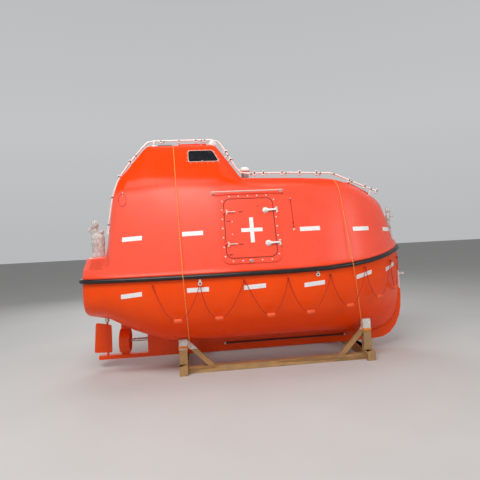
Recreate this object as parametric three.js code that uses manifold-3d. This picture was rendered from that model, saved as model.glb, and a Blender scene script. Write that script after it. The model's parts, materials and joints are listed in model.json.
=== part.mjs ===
// A totally enclosed lifeboat standing in its timber cradle.
// Millimetres, +X to the bow, +Y to port, +Z up. The lines are drawn from a zero near amidships, and the
// finished boat is moved so that its origin lies on the floor under the middle of its overall length.
import * as THREE from "three";
import { mergeVertices } from "three/addons/utils/BufferGeometryUtils.js";
import Module from "manifold-3d";

const wasm = await Module();
wasm.setup();

// Driving dimensions
const GAP = 0.3; // between pieces that touch on the real boat
const LENGTH = 4900; // moulded, without the fender
const BOW = 2412;
const STERN = BOW - LENGTH;
const BEAM = 2200;
const HALF = BEAM / 2;
const HULL_WALL = 12;
const CANOPY_WALL = 10;
const FENDER_REACH = 45;
const FENDER_HALF = 31;
const FLANGE = 45; // upright foot of the canopy behind the fender
const FOOT = 110; // above the gunwale, where the canopy side begins to lean
const FOOT_IN = 35; // how far the side has come in at that height
const LEAN = 0.2547; // the canopy side comes in by this much for each unit of height
const KEEL_WIDTH = 90;
const KEEL_BOTTOM = 130;
const KEEL_END = -1720; // where the keel opens for the propeller
const SHOE_TOP = 190; // of the bar that carries the keel's line on under the propeller
const SHOE_END = -2460;
const STEM = 2436; // fore edge of the keel where it runs up the bow
const PROP_X = -2060;
const PROP_Z = 392;
const PROP_R = 155;
const RUDDER_X = -2330; // the rudder stock's axis
const PIPE_Y = -250; // the spray pipe runs to starboard of the hatches
const PIPE_R = 14;

// Lines of the hull: half breadth and height at the gunwale, height of the bottom, fullness of the section
const HULL_LINES = {
  columns: ["x", "half", "sheer", "bottom", "full"],
  rows: [
    [STERN, 770, 1396, 905, 4.2],
    [-2474, 824, 1396, 872, 4.0],
    [-2438, 874, 1396, 852, 3.8],
    [-2358, 922, 1396, 836, 3.5],
    [-2180, 976, 1396, 795, 3.1],
    [-1850, 1030, 1396, 590, 2.7],
    [-1400, 1075, 1396, 398, 2.6],
    [-700, HALF, 1396, 374, 2.6],
    [400, HALF, 1398, 370, 2.5],
    [900, 1060, 1408, 352, 2.35],
    [1300, 966, 1434, 318, 2.15],
    [1600, 846, 1466, 282, 2.0],
    [1850, 700, 1504, 268, 1.9],
    [2034, 548, 1538, 290, 1.85],
    [2206, 370, 1574, 376, 1.85],
    [2318, 225, 1600, 496, 1.9],
    [2384, 118, 1620, 666, 2.0],
    [BOW, 55, 1628, 930, 2.2],
  ],
};

// Lines of the canopy: height of the shoulder, half breadth and height of the roof's edge, and the crown
const CANOPY_LINES = {
  columns: ["x", "shoulder", "roofHalf", "roof", "crown"],
  rows: [
    [STERN, 1530, 470, 1690, 1696],
    [-2474, 1536, 530, 1700, 1706],
    [-2438, 1538, 610, 1700, 1706],
    [-2400, 1538, 665, 1700, 1706],
    [-2320, 1538, 740, 1700, 1706],
    [-2226, 1540, 730, 1703, 1711],
    [-2180, 1542, 690, 1714, 1726],
    [-2153, 1546, 660, 1900, 1912],
    [-2094, 1574, 620, 2417, 2430],
    [-2072, 1716, 610, 2590, 2604],
    [-2030, 2156, 600, 2722, 2738],
    [-2009, 2454, 585, 2785, 2802],
    [-1972, 2690, 555, 2864, 2882],
    [-1881, 2735, 510, 2975, 2994],
    [-1655, 2762, 410, 3282, 3302],
    [-1590, 2765, 388, 3346, 3367],
    [-1540, 2765, 381, 3360, 3383],
    [-1480, 2765, 380, 3354, 3378],
    [-620, 2765, 380, 3354, 3378],
    [-555, 2765, 382, 3334, 3358],
    [-510, 2755, 388, 3282, 3304],
    [-215, 2690, 452, 2842, 2866],
    [-160, 2676, 460, 2802, 2830],
    [200, 2628, 466, 2794, 2826],
    [1160, 2598, 440, 2755, 2786],
    [1420, 2560, 405, 2706, 2734],
    [1640, 2490, 360, 2628, 2652],
    [1840, 2392, 305, 2524, 2544],
    [2000, 2290, 255, 2438, 2456],
    [2100, 2180, 212, 2350, 2365],
    [2165, 2035, 190, 2204, 2216],
    [2210, 1905, 174, 2040, 2050],
    [2262, 1745, 160, 1830, 1837],
    [2300, 1665, 140, 1716, 1721],
    [2368, 1652, 75, 1700, 1704],
    [BOW, 1652, 26, 1696, 1699],
  ],
};

// Tables and curves

// The table's column at x, with smooth slopes that never overshoot the rows
function at(lines, x, column) {
  const k = lines.columns.indexOf(column);
  const rows = lines.rows;
  const slope = (i) => (rows[i + 1][k] - rows[i][k]) / (rows[i + 1][0] - rows[i][0]);
  const tangent = (i) => {
    if (i === 0) return slope(0);
    if (i === rows.length - 1) return slope(i - 1);
    const [a, b] = [slope(i - 1), slope(i)];
    return a * b <= 0 ? 0 : (2 * a * b) / (a + b);
  };
  let i = rows.findIndex((row) => row[0] > x) - 1;
  if (i < 0) i = x <= rows[0][0] ? 0 : rows.length - 2;
  const span = rows[i + 1][0] - rows[i][0];
  const t = Math.min(1, Math.max(0, (x - rows[i][0]) / span));
  const [t2, t3] = [t * t, t * t * t];
  return (
    (2 * t3 - 3 * t2 + 1) * rows[i][k] +
    (t3 - 2 * t2 + t) * span * tangent(i) +
    (3 * t2 - 2 * t3) * rows[i + 1][k] +
    (t3 - t2) * span * tangent(i + 1)
  );
}

// Stations of the hull; the canopy's foot and the fender keep to the straight runs between them
const HULL_STATIONS = [
  STERN, -2474, -2438, -2358, -2180, -1850, -1400, -700, -150, 400, 900, 1300, 1600, 1850, 2034, 2206, 2318,
  2384, BOW,
];

function onChord(x, column) {
  const next = Math.min(HULL_STATIONS.length - 1, Math.max(1, HULL_STATIONS.findIndex((s) => s >= x)));
  const [a, b] = [HULL_STATIONS[next - 1], HULL_STATIONS[next]];
  const t = (x - a) / (b - a);
  return (1 - t) * at(HULL_LINES, a, column) + t * at(HULL_LINES, b, column);
}

const half = (x) => onChord(x, "half");
const sheer = (x) => onChord(x, "sheer");

// Half breadth of the canopy's side at a height between its foot and its shoulder
const sideHalf = (x, z) => half(x) - FOOT_IN - LEAN * (z - sheer(x) - FOOT);

// Solids

// A closed mesh as a manifold solid, its faces turned outwards
function solid(geometry) {
  const bare = geometry.clone();
  bare.deleteAttribute("normal");
  bare.deleteAttribute("uv");
  const merged = mergeVertices(bare, 0.001);
  const index = Array.from(merged.index.array);
  const p = merged.getAttribute("position");
  const corner = (i) => new THREE.Vector3().fromBufferAttribute(p, index[i]);
  const kept = [];
  let volume = 0;
  for (let i = 0; i < index.length; i += 3) {
    const three = [index[i], index[i + 1], index[i + 2]];
    if (new Set(three).size < 3) continue;
    kept.push(...three);
    volume += corner(i).dot(corner(i + 1).cross(corner(i + 2)));
  }
  if (volume < 0) kept.reverse();
  const mesh = new wasm.Mesh({
    numProp: 3,
    vertProperties: new Float32Array(p.array),
    triVerts: new Uint32Array(kept),
  });
  mesh.merge();
  return new wasm.Manifold(mesh);
}

function geometryOf(manifold) {
  const mesh = manifold.getMesh();
  const geometry = new THREE.BufferGeometry();
  geometry.setAttribute("position", new THREE.BufferAttribute(mesh.vertProperties, 3));
  geometry.setIndex(new THREE.BufferAttribute(mesh.triVerts, 1));
  return geometry.toNonIndexed();
}

const join = (solids) => solids.reduce((all, one) => all.add(one));
const cut = (body, tools) => tools.reduce((left, tool) => left.subtract(tool), body);

// A skin through closed rings with the same number of points, capped at both ends
function loft(rings) {
  const count = rings[0].length;
  const points = rings.flat();
  const index = [];
  for (let r = 0; r + 1 < rings.length; r++) {
    for (let i = 0; i < count; i++) {
      const j = (i + 1) % count;
      const [a, b, c, d] = [r * count + i, r * count + j, (r + 1) * count + i, (r + 1) * count + j];
      index.push(a, b, c, b, d, c);
    }
  }
  [0, rings.length - 1].forEach((r) => {
    const middle = rings[r].reduce((sum, p) => sum.add(p), new THREE.Vector3()).divideScalar(count);
    points.push(middle);
    for (let i = 0; i < count; i++) {
      const [a, b] = [r * count + i, r * count + ((i + 1) % count)];
      if (r === 0) index.push(b, a, points.length - 1);
      else index.push(a, b, points.length - 1);
    }
  });
  return solid(new THREE.BufferGeometry().setFromPoints(points).setIndex(index));
}

// Rows of points moved along the surface's normal, positive to the outside of the boat
function offsetRows(rows, distance) {
  return rows.map((row, r) =>
    row.map((p, i) => {
      const along = rows[Math.min(r + 1, rows.length - 1)][i].clone().sub(rows[Math.max(r - 1, 0)][i]);
      const across = row[Math.min(i + 1, row.length - 1)].clone().sub(row[Math.max(i - 1, 0)]);
      const normal = along.cross(across).normalize();
      const end = r === 0 ? -1 : r === rows.length - 1 ? 1 : 0;
      return p.clone().addScaledVector(normal, distance).add(new THREE.Vector3(end * distance, 0, 0));
    }),
  );
}

// The rows closed by two points straight above or below their ends
function closeRows(rows, shift) {
  return rows.map((row) => {
    const [first, last] = [row[0].clone(), row[row.length - 1].clone()];
    first.z += shift;
    last.z += shift;
    return [first, ...row, last];
  });
}

function box(x0, x1, y0, y1, z0, z1) {
  const block = new THREE.BoxGeometry(x1 - x0, y1 - y0, z1 - z0);
  return solid(block.translate((x0 + x1) / 2, (y0 + y1) / 2, (z0 + z1) / 2));
}

// A round bar between two points
function rod(a, b, radius, sides = 10) {
  const [from, to] = [new THREE.Vector3(...a), new THREE.Vector3(...b)];
  const way = to.clone().sub(from);
  const geometry = new THREE.CylinderGeometry(radius, radius, way.length(), sides);
  const turn = new THREE.Quaternion().setFromUnitVectors(new THREE.Vector3(0, 1, 0), way.normalize());
  geometry.applyQuaternion(turn);
  return solid(geometry.translate(...from.add(to).divideScalar(2).toArray()));
}

function circle(radius, sides) {
  const shape = new THREE.Shape();
  for (let i = 0; i < sides; i++) {
    const angle = (2 * Math.PI * i) / sides;
    shape[i ? "lineTo" : "moveTo"](radius * Math.cos(angle), radius * Math.sin(angle));
  }
  return shape;
}

// A polygon with each corner rounded; corners are [u, v, radius]
function rounded(corners) {
  const shape = new THREE.Shape();
  corners.forEach(([u, v, radius], i) => {
    const here = new THREE.Vector2(u, v);
    const next = new THREE.Vector2(...corners[(i + 1) % corners.length].slice(0, 2));
    const last = new THREE.Vector2(...corners[(i + corners.length - 1) % corners.length].slice(0, 2));
    const enter = here.clone().addScaledVector(last.clone().sub(here).normalize(), radius);
    const leave = here.clone().addScaledVector(next.clone().sub(here).normalize(), radius);
    shape[i ? "lineTo" : "moveTo"](enter.x, enter.y);
    for (let k = 1; radius > 0 && k <= 4; k++) {
      const t = k / 4;
      const p = enter.clone().multiplyScalar((1 - t) ** 2);
      p.addScaledVector(here, 2 * t * (1 - t)).addScaledVector(leave, t * t);
      shape.lineTo(p.x, p.y);
    }
  });
  return shape;
}

const roundedBox = (width, height, radius) =>
  rounded([
    [-width / 2, -height / 2, radius],
    [width / 2, -height / 2, radius],
    [width / 2, height / 2, radius],
    [-width / 2, height / 2, radius],
  ]);

// A flat panel's own frame: u along the boat or across it, v up the panel, w straight out of it
class Panel {
  constructor(origin, u, w) {
    this.origin = new THREE.Vector3(...origin);
    this.u = new THREE.Vector3(...u).normalize();
    this.w = new THREE.Vector3(...w).normalize();
    this.v = this.w.clone().cross(this.u);
    if (this.v.z < 0) this.v.negate();
    this.matrix = new THREE.Matrix4().makeBasis(this.u, this.v, this.w).setPosition(this.origin);
  }
  point(u, v, w) {
    return new THREE.Vector3(u, v, w).applyMatrix4(this.matrix).toArray();
  }
  plate(shape, w0, w1) {
    const geometry = new THREE.ExtrudeGeometry(shape, { depth: w1 - w0, bevelEnabled: false });
    return solid(geometry.translate(0, 0, w0).applyMatrix4(this.matrix));
  }
  rod(a, b, radius, sides) {
    return rod(this.point(...a), this.point(...b), radius, sides);
  }
  block(u0, u1, v0, v1, w0, w1) {
    const shape = rounded([[u0, v0, 0], [u1, v0, 0], [u1, v1, 0], [u0, v1, 0]]);
    return this.plate(shape, w0, w1);
  }
}

// Shells of the boat

const HULL_STEPS = 24;

function hullRows() {
  return HULL_STATIONS.map((x) => {
    const power = 2 / at(HULL_LINES, x, "full");
    const depth = sheer(x) - at(HULL_LINES, x, "bottom");
    return Array.from({ length: HULL_STEPS + 1 }, (_, i) => {
      const angle = Math.PI * (i / HULL_STEPS - 0.5);
      const y = -half(x) * Math.sign(Math.sin(angle)) * Math.abs(Math.sin(angle)) ** power;
      return new THREE.Vector3(x, y, sheer(x) - depth * Math.cos(angle) ** power);
    });
  });
}

const OPEN_EDGE = 60; // how far a shell's inner solid runs past its open edge
const hullOuter = loft(hullRows());
const hullClear = loft(closeRows(offsetRows(hullRows(), GAP), OPEN_EDGE)); // a touch outside the hull
const hullInner = loft(closeRows(offsetRows(hullRows(), -HULL_WALL), OPEN_EDGE));
const hullRoom = loft(closeRows(offsetRows(hullRows(), -HULL_WALL - GAP), OPEN_EDGE));

const ARC = 2; // steps in the canopy's rounded edges

// One half of a canopy section from the foot to the crown, as [y, z]
function canopyHalf(x) {
  const [shoulder, roof] = [at(CANOPY_LINES, x, "shoulder"), at(CANOPY_LINES, x, "roof")];
  const foot = sheer(x) + GAP;
  const points = [
    [half(x), foot],
    [half(x), foot + FLANGE],
    [half(x) - FOOT_IN, sheer(x) + FOOT],
  ];
  const corners = [
    [Math.max(sideHalf(x, shoulder), 0.55 * half(x)), shoulder, 90],
    [Math.min(at(CANOPY_LINES, x, "roofHalf"), 0.5 * half(x) + 350), roof, 70],
    [0, at(CANOPY_LINES, x, "crown"), 0],
  ];
  let last = new THREE.Vector2(...points[2]);
  corners.slice(0, 2).forEach(([y, z, radius], i) => {
    const here = new THREE.Vector2(y, z);
    const next = new THREE.Vector2(...corners[i + 1].slice(0, 2));
    const room = 0.4 * Math.min(here.distanceTo(last), here.distanceTo(next));
    const reach = Math.min(radius, room);
    const enter = here.clone().addScaledVector(last.clone().sub(here).normalize(), reach);
    const leave = here.clone().addScaledVector(next.clone().sub(here).normalize(), reach);
    for (let k = 0; k <= ARC; k++) {
      const t = k / ARC;
      points.push([
        (1 - t) ** 2 * enter.x + 2 * t * (1 - t) * here.x + t * t * leave.x,
        (1 - t) ** 2 * enter.y + 2 * t * (1 - t) * here.y + t * t * leave.y,
      ]);
    }
    last = here;
  });
  points.push([0, corners[2][1]]);
  return points;
}

function canopyRows() {
  const stations = [...new Set([...CANOPY_LINES.rows.map(([x]) => x), ...HULL_STATIONS])];
  stations.sort((a, b) => a - b);
  return stations.map((x) => {
    const side = canopyHalf(x);
    const stbd = side.map(([y, z]) => new THREE.Vector3(x, -y, z));
    const port = side.slice(0, -1).reverse().map(([y, z]) => new THREE.Vector3(x, y, z));
    return [...stbd, ...port];
  });
}

const canopyOuter = loft(canopyRows());
const HOLLOW_TO = 2215; // the knee at the bow is solid
const canopyInside = (inset) => {
  const rows = offsetRows(canopyRows(), -inset).filter((row) => row[0].x < HOLLOW_TO);
  return loft(closeRows(rows.slice(1), -OPEN_EDGE));
};
const canopyInner = canopyInside(CANOPY_WALL);
const canopyRoom = canopyInside(CANOPY_WALL + GAP);
const canopyClear = loft(closeRows(offsetRows(canopyRows(), GAP), -OPEN_EDGE));

// Panels that doors, hatches and windows lie on
const DOOR = { x: -150, z: 2025, width: 700, height: 857, radius: 95, gap: 5 };
const SIDES = [
  { name: "stbd", sign: -1 },
  { name: "port", sign: 1 },
];
const sidePanel = (sign) =>
  new Panel([DOOR.x, sign * sideHalf(DOOR.x, DOOR.z), DOOR.z], [1, 0, 0], [0, sign, LEAN]);

const TOWER_WINDOW = { x: -770, z: 3140 };
const TOWER_SIDE = { low: [742.8, 2765], high: [380, 3354] }; // [y, z] of its lower and upper edge
const towerSlope = (TOWER_SIDE.low[0] - TOWER_SIDE.high[0]) / (TOWER_SIDE.high[1] - TOWER_SIDE.low[1]);
const towerPanel = (sign) => {
  const y = TOWER_SIDE.low[0] - towerSlope * (TOWER_WINDOW.z - TOWER_SIDE.low[1]);
  return new Panel([TOWER_WINDOW.x, sign * y, TOWER_WINDOW.z], [1, 0, 0], [0, sign, towerSlope]);
};
const slopePanel = (low, high, y, outX) => {
  const [dx, dz] = [high[0] - low[0], high[1] - low[1]];
  const w = [outX * Math.abs(dz), 0, Math.abs(dx)];
  return new Panel([(low[0] + high[0]) / 2, y, (low[1] + high[1]) / 2], [0, 1, 0], w);
};
const frontPanel = slopePanel([-215, 2866], [-510, 3304], 0, 1);
const backPanel = slopePanel([-1881, 2994], [-1655, 3302], 0, -1);

const WINDOW = { width: 380, height: 235, radius: 40 };
const sideWindow = rounded([[-210, -117, 34], [255, -117, 34], [165, 117, 34], [-210, 117, 34]]);
const sideWindowHole = rounded([[-185, -92, 26], [215, -92, 26], [145, 92, 26], [-185, 92, 26]]);
const slopeWindow = roundedBox(WINDOW.width, WINDOW.height, WINDOW.radius);
const slopeWindowHole = roundedBox(WINDOW.width - 50, WINDOW.height - 50, WINDOW.radius - 12);

// Hatches: a coaming let into the canopy and a lid over it
const HATCHES = {
  fore: { panel: slopePanel([1950, 2462], [1560, 2684], 20, 1), width: 400, height: 400 },
  aft: { panel: slopePanel([-2153, 1912], [-2086, 2500], 300, -1), width: 390, height: 470 },
  top: { panel: new Panel([-905, 70, 3372], [0, 1, 0], [0, 0, 1]), width: 420, height: 440 },
};
const COAMING = { wall: 18, low: -32, high: 24 };
const LID = { low: 29.5, high: 46, over: 6 };
const hatchShape = (hatch, grow) => roundedBox(hatch.width + 2 * grow, hatch.height + 2 * grow, 60 + grow);

// Everything that is cut through the canopy
function canopyOpenings() {
  const tools = [];
  SIDES.forEach(({ sign }) => {
    const opening = roundedBox(DOOR.width + 2 * DOOR.gap, DOOR.height + 2 * DOOR.gap, DOOR.radius);
    tools.push(sidePanel(sign).plate(opening, -60, 60));
    tools.push(towerPanel(sign).plate(sideWindowHole, -40, 40));
  });
  [frontPanel, backPanel].forEach((panel) => tools.push(panel.plate(slopeWindowHole, -40, 60)));
  Object.values(HATCHES).forEach((hatch) =>
    tools.push(hatch.panel.plate(hatchShape(hatch, GAP), -80, 80)),
  );
  return tools;
}

// The scene

const lifeboat = new THREE.Group();

function add(name, manifold, material) {
  const mesh = new THREE.Mesh(geometryOf(manifold), material.clone());
  mesh.name = name;
  lifeboat.add(mesh);
  return manifold;
}

const paint = (color, roughness, metalness) =>
  new THREE.MeshStandardMaterial({ color, roughness, metalness });
const MATERIALS = {
  hull: paint(0xd8420f, 0.35, 0),
  canopy: paint(0xf2552f, 0.35, 0),
  rubber: paint(0x17181a, 0.7, 0),
  steel: paint(0xb9bdc1, 0.3, 0.9),
  white: paint(0xe9e9e6, 0.4, 0),
  glass: paint(0x20282c, 0.08, 0),
  liner: paint(0xe8e4da, 0.5, 0),
  engine: paint(0x6c7a80, 0.5, 0.2),
  seat: paint(0x23262b, 0.7, 0),
  bronze: paint(0xa8743a, 0.35, 0.9),
  wood: paint(0xa88458, 0.8, 0),
  wrap: paint(0xc9c7bd, 0.4, 0),
  rope: paint(0x7c1e14, 0.8, 0),
  dark: paint(0x2b2d30, 0.5, 0.4),
};

// Hull, keel and fender

// Rope eyes under the fender; float is how far along the next bight its float hangs, drop how far below
const EYES = [
  { x: -1510, z: 1306, float: 0.5, drop: 480 },
  { x: -886, z: 1308, float: 0.4, drop: 480 },
  { x: -291, z: 1310, float: 0.56, drop: 480 },
  { x: 314, z: 1302, float: 0.47, drop: 480 },
  { x: 924, z: 1312, float: 0.47, drop: 476 },
  { x: 1510, z: 1366, float: 0.41, drop: 466 },
  { x: 2064, z: 1424, float: 0.35, drop: 434 },
  { x: 2330, z: 1450, float: 0, drop: 0 },
];
const EYE_STANDOFF = 24; // from the hull to the middle of the rope

const ROPE_R = 5;

// The hull's shell with a lug at each rope eye
function hullShell() {
  const lugs = EYES.flatMap(({ x, z }) =>
    SIDES.map(({ sign }) => {
      const reach = [half(x) - 8, half(x) + EYE_STANDOFF - ROPE_R - GAP].map((y) => sign * y);
      return box(x - 10, x + 10, Math.min(...reach), Math.max(...reach), z - 10, z + 10);
    }),
  );
  return join([hullOuter.subtract(hullInner), ...lugs]);
}

function keel() {
  const profile = [
    [SHOE_END, KEEL_BOTTOM], [1600, KEEL_BOTTOM], [1900, 138], [2080, 158], [2205, 218], [2310, 338],
    [2385, 490], [2420, 640], [2434, 800], [STEM, 973], [STEM, 1130], [2430, 1380], [2424, 1540],
    [2350, 1540], [2180, 900], [1880, 500], [-1500, 640], [KEEL_END, 700], [KEEL_END, SHOE_TOP],
    [SHOE_END, SHOE_TOP],
  ];
  const shape = rounded(profile.map(([x, z]) => [x, z, 0]));
  const upright = new Panel([0, 0, 0], [1, 0, 0], [0, -1, 0]);
  const slab = upright.plate(shape, -KEEL_WIDTH / 2, KEEL_WIDTH / 2);
  return slab.subtract(hullClear);
}

// Thin lines that hang from an eye on the canopy's starboard side: a tether and a closed loop
const TETHER = { x: 468, top: 2411, end: 1972, sway: 9, radius: 4 };
const LOOP = { x: -1924, top: 2592, end: 2410, half: 56, radius: 3 };
const EYE = { half: 8, high: 16, reach: 12, foot: 6 };

// The outline of the gunwale with its outward direction, once round the boat
function gunwale() {
  const xs = [...HULL_STATIONS];
  const stbd = xs.map((x) => new THREE.Vector3(x, -half(x), sheer(x)));
  const port = xs.reverse().map((x) => new THREE.Vector3(x, half(x), sheer(x)));
  const points = [...stbd, ...port];
  return points.map((p, i) => {
    const before = points[(i + points.length - 1) % points.length];
    const after = points[(i + 1) % points.length];
    const side = (a, b) => new THREE.Vector2(b.y - a.y, a.x - b.x).normalize();
    const [n1, n2] = [side(before, p), side(p, after)];
    const out = n1.clone().add(n2).normalize();
    return { p, out: out.clone().divideScalar(out.dot(n1)) };
  });
}

function fender() {
  // [outwards, up] round the rubber's D section
  const section = [
    [GAP, -FENDER_HALF], [0.45 * FENDER_REACH, -FENDER_HALF], [0.85 * FENDER_REACH, -0.62 * FENDER_HALF],
    [FENDER_REACH, 0], [0.85 * FENDER_REACH, 0.62 * FENDER_HALF], [0.45 * FENDER_REACH, FENDER_HALF],
    [GAP, FENDER_HALF],
  ];
  const path = gunwale();
  const points = path.flatMap(({ p, out }) =>
    section.map(([o, v]) => new THREE.Vector3(p.x + out.x * o, p.y + out.y * o, p.z + v)),
  );
  const count = section.length;
  const index = [];
  path.forEach((_, r) => {
    const s = (r + 1) % path.length;
    for (let i = 0; i < count; i++) {
      const j = (i + 1) % count;
      index.push(r * count + i, s * count + i, r * count + j, r * count + j, s * count + i, s * count + j);
    }
  });
  return solid(new THREE.BufferGeometry().setFromPoints(points).setIndex(index));
}

add("hull_shell", hullShell(), MATERIALS.hull);
add("keel", keel(), MATERIALS.hull);
add("fender", fender(), MATERIALS.rubber);
add("canopy", cut(canopyOuter.subtract(canopyInner), canopyOpenings()), MATERIALS.canopy);

// Side doors

const HINGE = { u: -DOOR.width / 2 - 14, w: 27, pin: 4, bore: 5, barrel: 10, length: 44 };
const HINGE_HEIGHTS = [-215, 235]; // up the door, from its middle
const FRAME = { width: 830, height: 1017, radius: 130, low: -6, high: 12 };
const LEAF = { low: -18, high: 11 };

function doorFrame(panel) {
  const outer = panel.plate(roundedBox(FRAME.width, FRAME.height, FRAME.radius), FRAME.low, FRAME.high);
  const inner = roundedBox(DOOR.width + 2 * DOOR.gap, DOOR.height + 2 * DOOR.gap, DOOR.radius);
  let frame = outer.subtract(panel.plate(inner, -80, 60)).subtract(canopyClear);
  HINGE_HEIGHTS.forEach((v) => {
    const reach = HINGE.length / 2 + 3;
    [-1, 1].forEach((side) => {
      const [a, b] = [v + side * reach, v + side * (reach + 12)].sort((p, q) => p - q);
      frame = frame.add(panel.rod([HINGE.u, a, HINGE.w], [HINGE.u, b, HINGE.w], HINGE.barrel, 10));
      frame = frame.add(panel.block(HINGE.u - 10, HINGE.u + 6, a, b, 5, HINGE.w));
    });
    frame = frame.add(
      panel.rod([HINGE.u, v - reach - 4, HINGE.w], [HINGE.u, v + reach + 4, HINGE.w], HINGE.pin, 8),
    );
  });
  return frame;
}

function doorLeaf(panel) {
  let leaf = panel.plate(roundedBox(DOOR.width, DOOR.height, DOOR.radius - 4), LEAF.low, LEAF.high);
  HINGE_HEIGHTS.forEach((v) => {
    const reach = HINGE.length / 2;
    const [low, high, end] = [v - reach + 8, v + reach - 8, HINGE.u + 150];
    const strap = panel.block(HINGE.u + 4, end, low, high, LEAF.high + 8, LEAF.high + 15);
    const seat = panel.block(HINGE.u + 40, end, low, high, LEAF.high - 2, LEAF.high + 15);
    const onAxis = (length) => [HINGE.u, v + length, HINGE.w];
    const barrel = panel.rod(onAxis(-reach), onAxis(reach), HINGE.barrel, 10);
    const bore = panel.rod(onAxis(-reach - 5), onAxis(reach + 5), HINGE.bore, 8);
    leaf = join([leaf, strap, seat, barrel]).subtract(bore);
  });
  return leaf;
}

// A lever handle on its round boss, reaching forward over the frame
function doorHandle(panel, v) {
  const [at, end] = [240, 394];
  const boss = panel.rod([at, v, LEAF.high + GAP], [at, v, 40], 30, 20);
  const arm = panel.plate(
    rounded([[at, v - 17, 0], [end, v - 11, 10], [end, v + 11, 10], [at, v + 17, 0]]), 26, 38,
  );
  return boss.add(arm);
}

const HANDLES = [
  { name: "upper", v: 243 },
  { name: "lower", v: -240 },
];

// A grab rail of pipe with a foot at each end
function handrail(panel) {
  const [low, high, v, w] = [-520, 510, 528, 56];
  const rail = panel.rod([low, v, w], [high, v, w], 11, 12);
  const legs = [low + 14, high - 14].map((u) => panel.rod([u, v, -20], [u, v, w], 9, 10));
  const feet = [low + 14, high - 14].map((u) => panel.rod([u, v, -20], [u, v, 8], 22, 12));
  return join([rail, ...legs, ...feet]).subtract(canopyClear);
}

SIDES.forEach(({ name, sign }) => {
  const panel = sidePanel(sign);
  add(`door_frame_${name}`, doorFrame(panel), MATERIALS.canopy);
  add(`door_${name}`, doorLeaf(panel), MATERIALS.canopy);
  HANDLES.forEach((handle) =>
    add(`door_handle_${handle.name}_${name}`, doorHandle(panel, handle.v), MATERIALS.white),
  );
  add(`handrail_${name}`, handrail(panel), MATERIALS.white);
  const window = towerPanel(sign).plate(sideWindow, -30, 9).subtract(canopyClear);
  add(`window_${name}`, window, MATERIALS.glass);
});

add("window_front", frontPanel.plate(slopeWindow, -30, 12).subtract(canopyClear), MATERIALS.glass);
add("window_back", backPanel.plate(slopeWindow, -30, 12).subtract(canopyClear), MATERIALS.glass);

// Hatches

function coaming(hatch) {
  const outer = hatch.panel.plate(hatchShape(hatch, 0), COAMING.low, COAMING.high);
  return outer.subtract(hatch.panel.plate(hatchShape(hatch, -COAMING.wall), -90, 90));
}

const LID_HINGE = { w: 37, out: 26, pin: 4, bore: 5, barrel: 9, length: 40 };

// The lid turns on two knuckles above its upper edge
function lid(hatch) {
  const edge = hatch.height / 2 + LID_HINGE.out;
  let body = hatch.panel.plate(hatchShape(hatch, LID.over), LID.low, LID.high);
  [-1, 1].forEach((side) => {
    const u = (side * hatch.width) / 4;
    const [a, b] = [u - LID_HINGE.length / 2, u + LID_HINGE.length / 2];
    const arm = hatch.panel.block(a, b, hatch.height / 2 - 40, edge, LID_HINGE.w - 3, LID_HINGE.w + 8);
    const barrel = hatch.panel.rod([a, edge, LID_HINGE.w], [b, edge, LID_HINGE.w], LID_HINGE.barrel, 10);
    const bore = hatch.panel.rod([a - 5, edge, LID_HINGE.w], [b + 5, edge, LID_HINGE.w], LID_HINGE.bore, 8);
    body = join([body, arm, barrel]).subtract(bore);
  });
  return body;
}

// Hinge feet on the coaming's upper side, with the pins that the lid turns on
function coamingHinges(hatch, body) {
  const edge = hatch.height / 2 + LID_HINGE.out;
  let all = body;
  [-1, 1].forEach((side) => {
    const u = (side * hatch.width) / 4;
    const reach = LID_HINGE.length / 2 + 3;
    [-1, 1].forEach((end) => {
      const [a, b] = [u + end * reach, u + end * (reach + 10)].sort((p, q) => p - q);
      all = all.add(hatch.panel.rod([a, edge, LID_HINGE.w], [b, edge, LID_HINGE.w], LID_HINGE.barrel, 10));
      all = all.add(hatch.panel.block(a, b, hatch.height / 2 - 8, edge + 6, 18, 23));
      all = all.add(hatch.panel.block(a, b, edge - 7, edge + 7, 18, LID_HINGE.w));
    });
    const pin = [[u - reach - 4, edge, LID_HINGE.w], [u + reach + 4, edge, LID_HINGE.w]];
    all = all.add(hatch.panel.rod(...pin, LID_HINGE.pin, 8));
  });
  return all;
}

Object.entries(HATCHES).forEach(([name, hatch]) => {
  const rim = coamingHinges(hatch, coaming(hatch)).subtract(canopyClearOf(hatch));
  add(`coaming_${name}`, rim, MATERIALS.canopy);
  add(`hatch_${name}`, lid(hatch), MATERIALS.canopy);
});

// The canopy's skin around a hatch, without the hatch's own opening
function canopyClearOf(hatch) {
  const around = canopyClear.subtract(canopyRoom);
  return around.subtract(hatch.panel.plate(hatchShape(hatch, 0.1), -90, 90));
}

// Spray pipe over the canopy with its feet and nozzles

const PIPE_ROUTE = [
  [-2240, 2040], [-2208, 2226], [-2153, 2563], [-2076, 2813], [-2022, 2915], [-1874, 3120], [-1711, 3314],
  [-1620, 3412], [-1562, 3446], [-1480, 3450], [-620, 3450], [-540, 3444], [-478, 3400], [-352, 3198],
  [-237, 2990], [-165, 2915], [-70, 2900], [600, 2892], [1180, 2868], [1330, 2856], [1611, 2729],
  [1843, 2628], [2074, 2531],
];
const PIPE_NOZZLES = [-1800, -1440, -1040, -660, -410, 220, 640, 1080, 1420, 1960];
const PIPE_FEET = [-2215, -2076, -1780, -1340, -760, -350, 0, 560, 1120, 1640, 1960];

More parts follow.
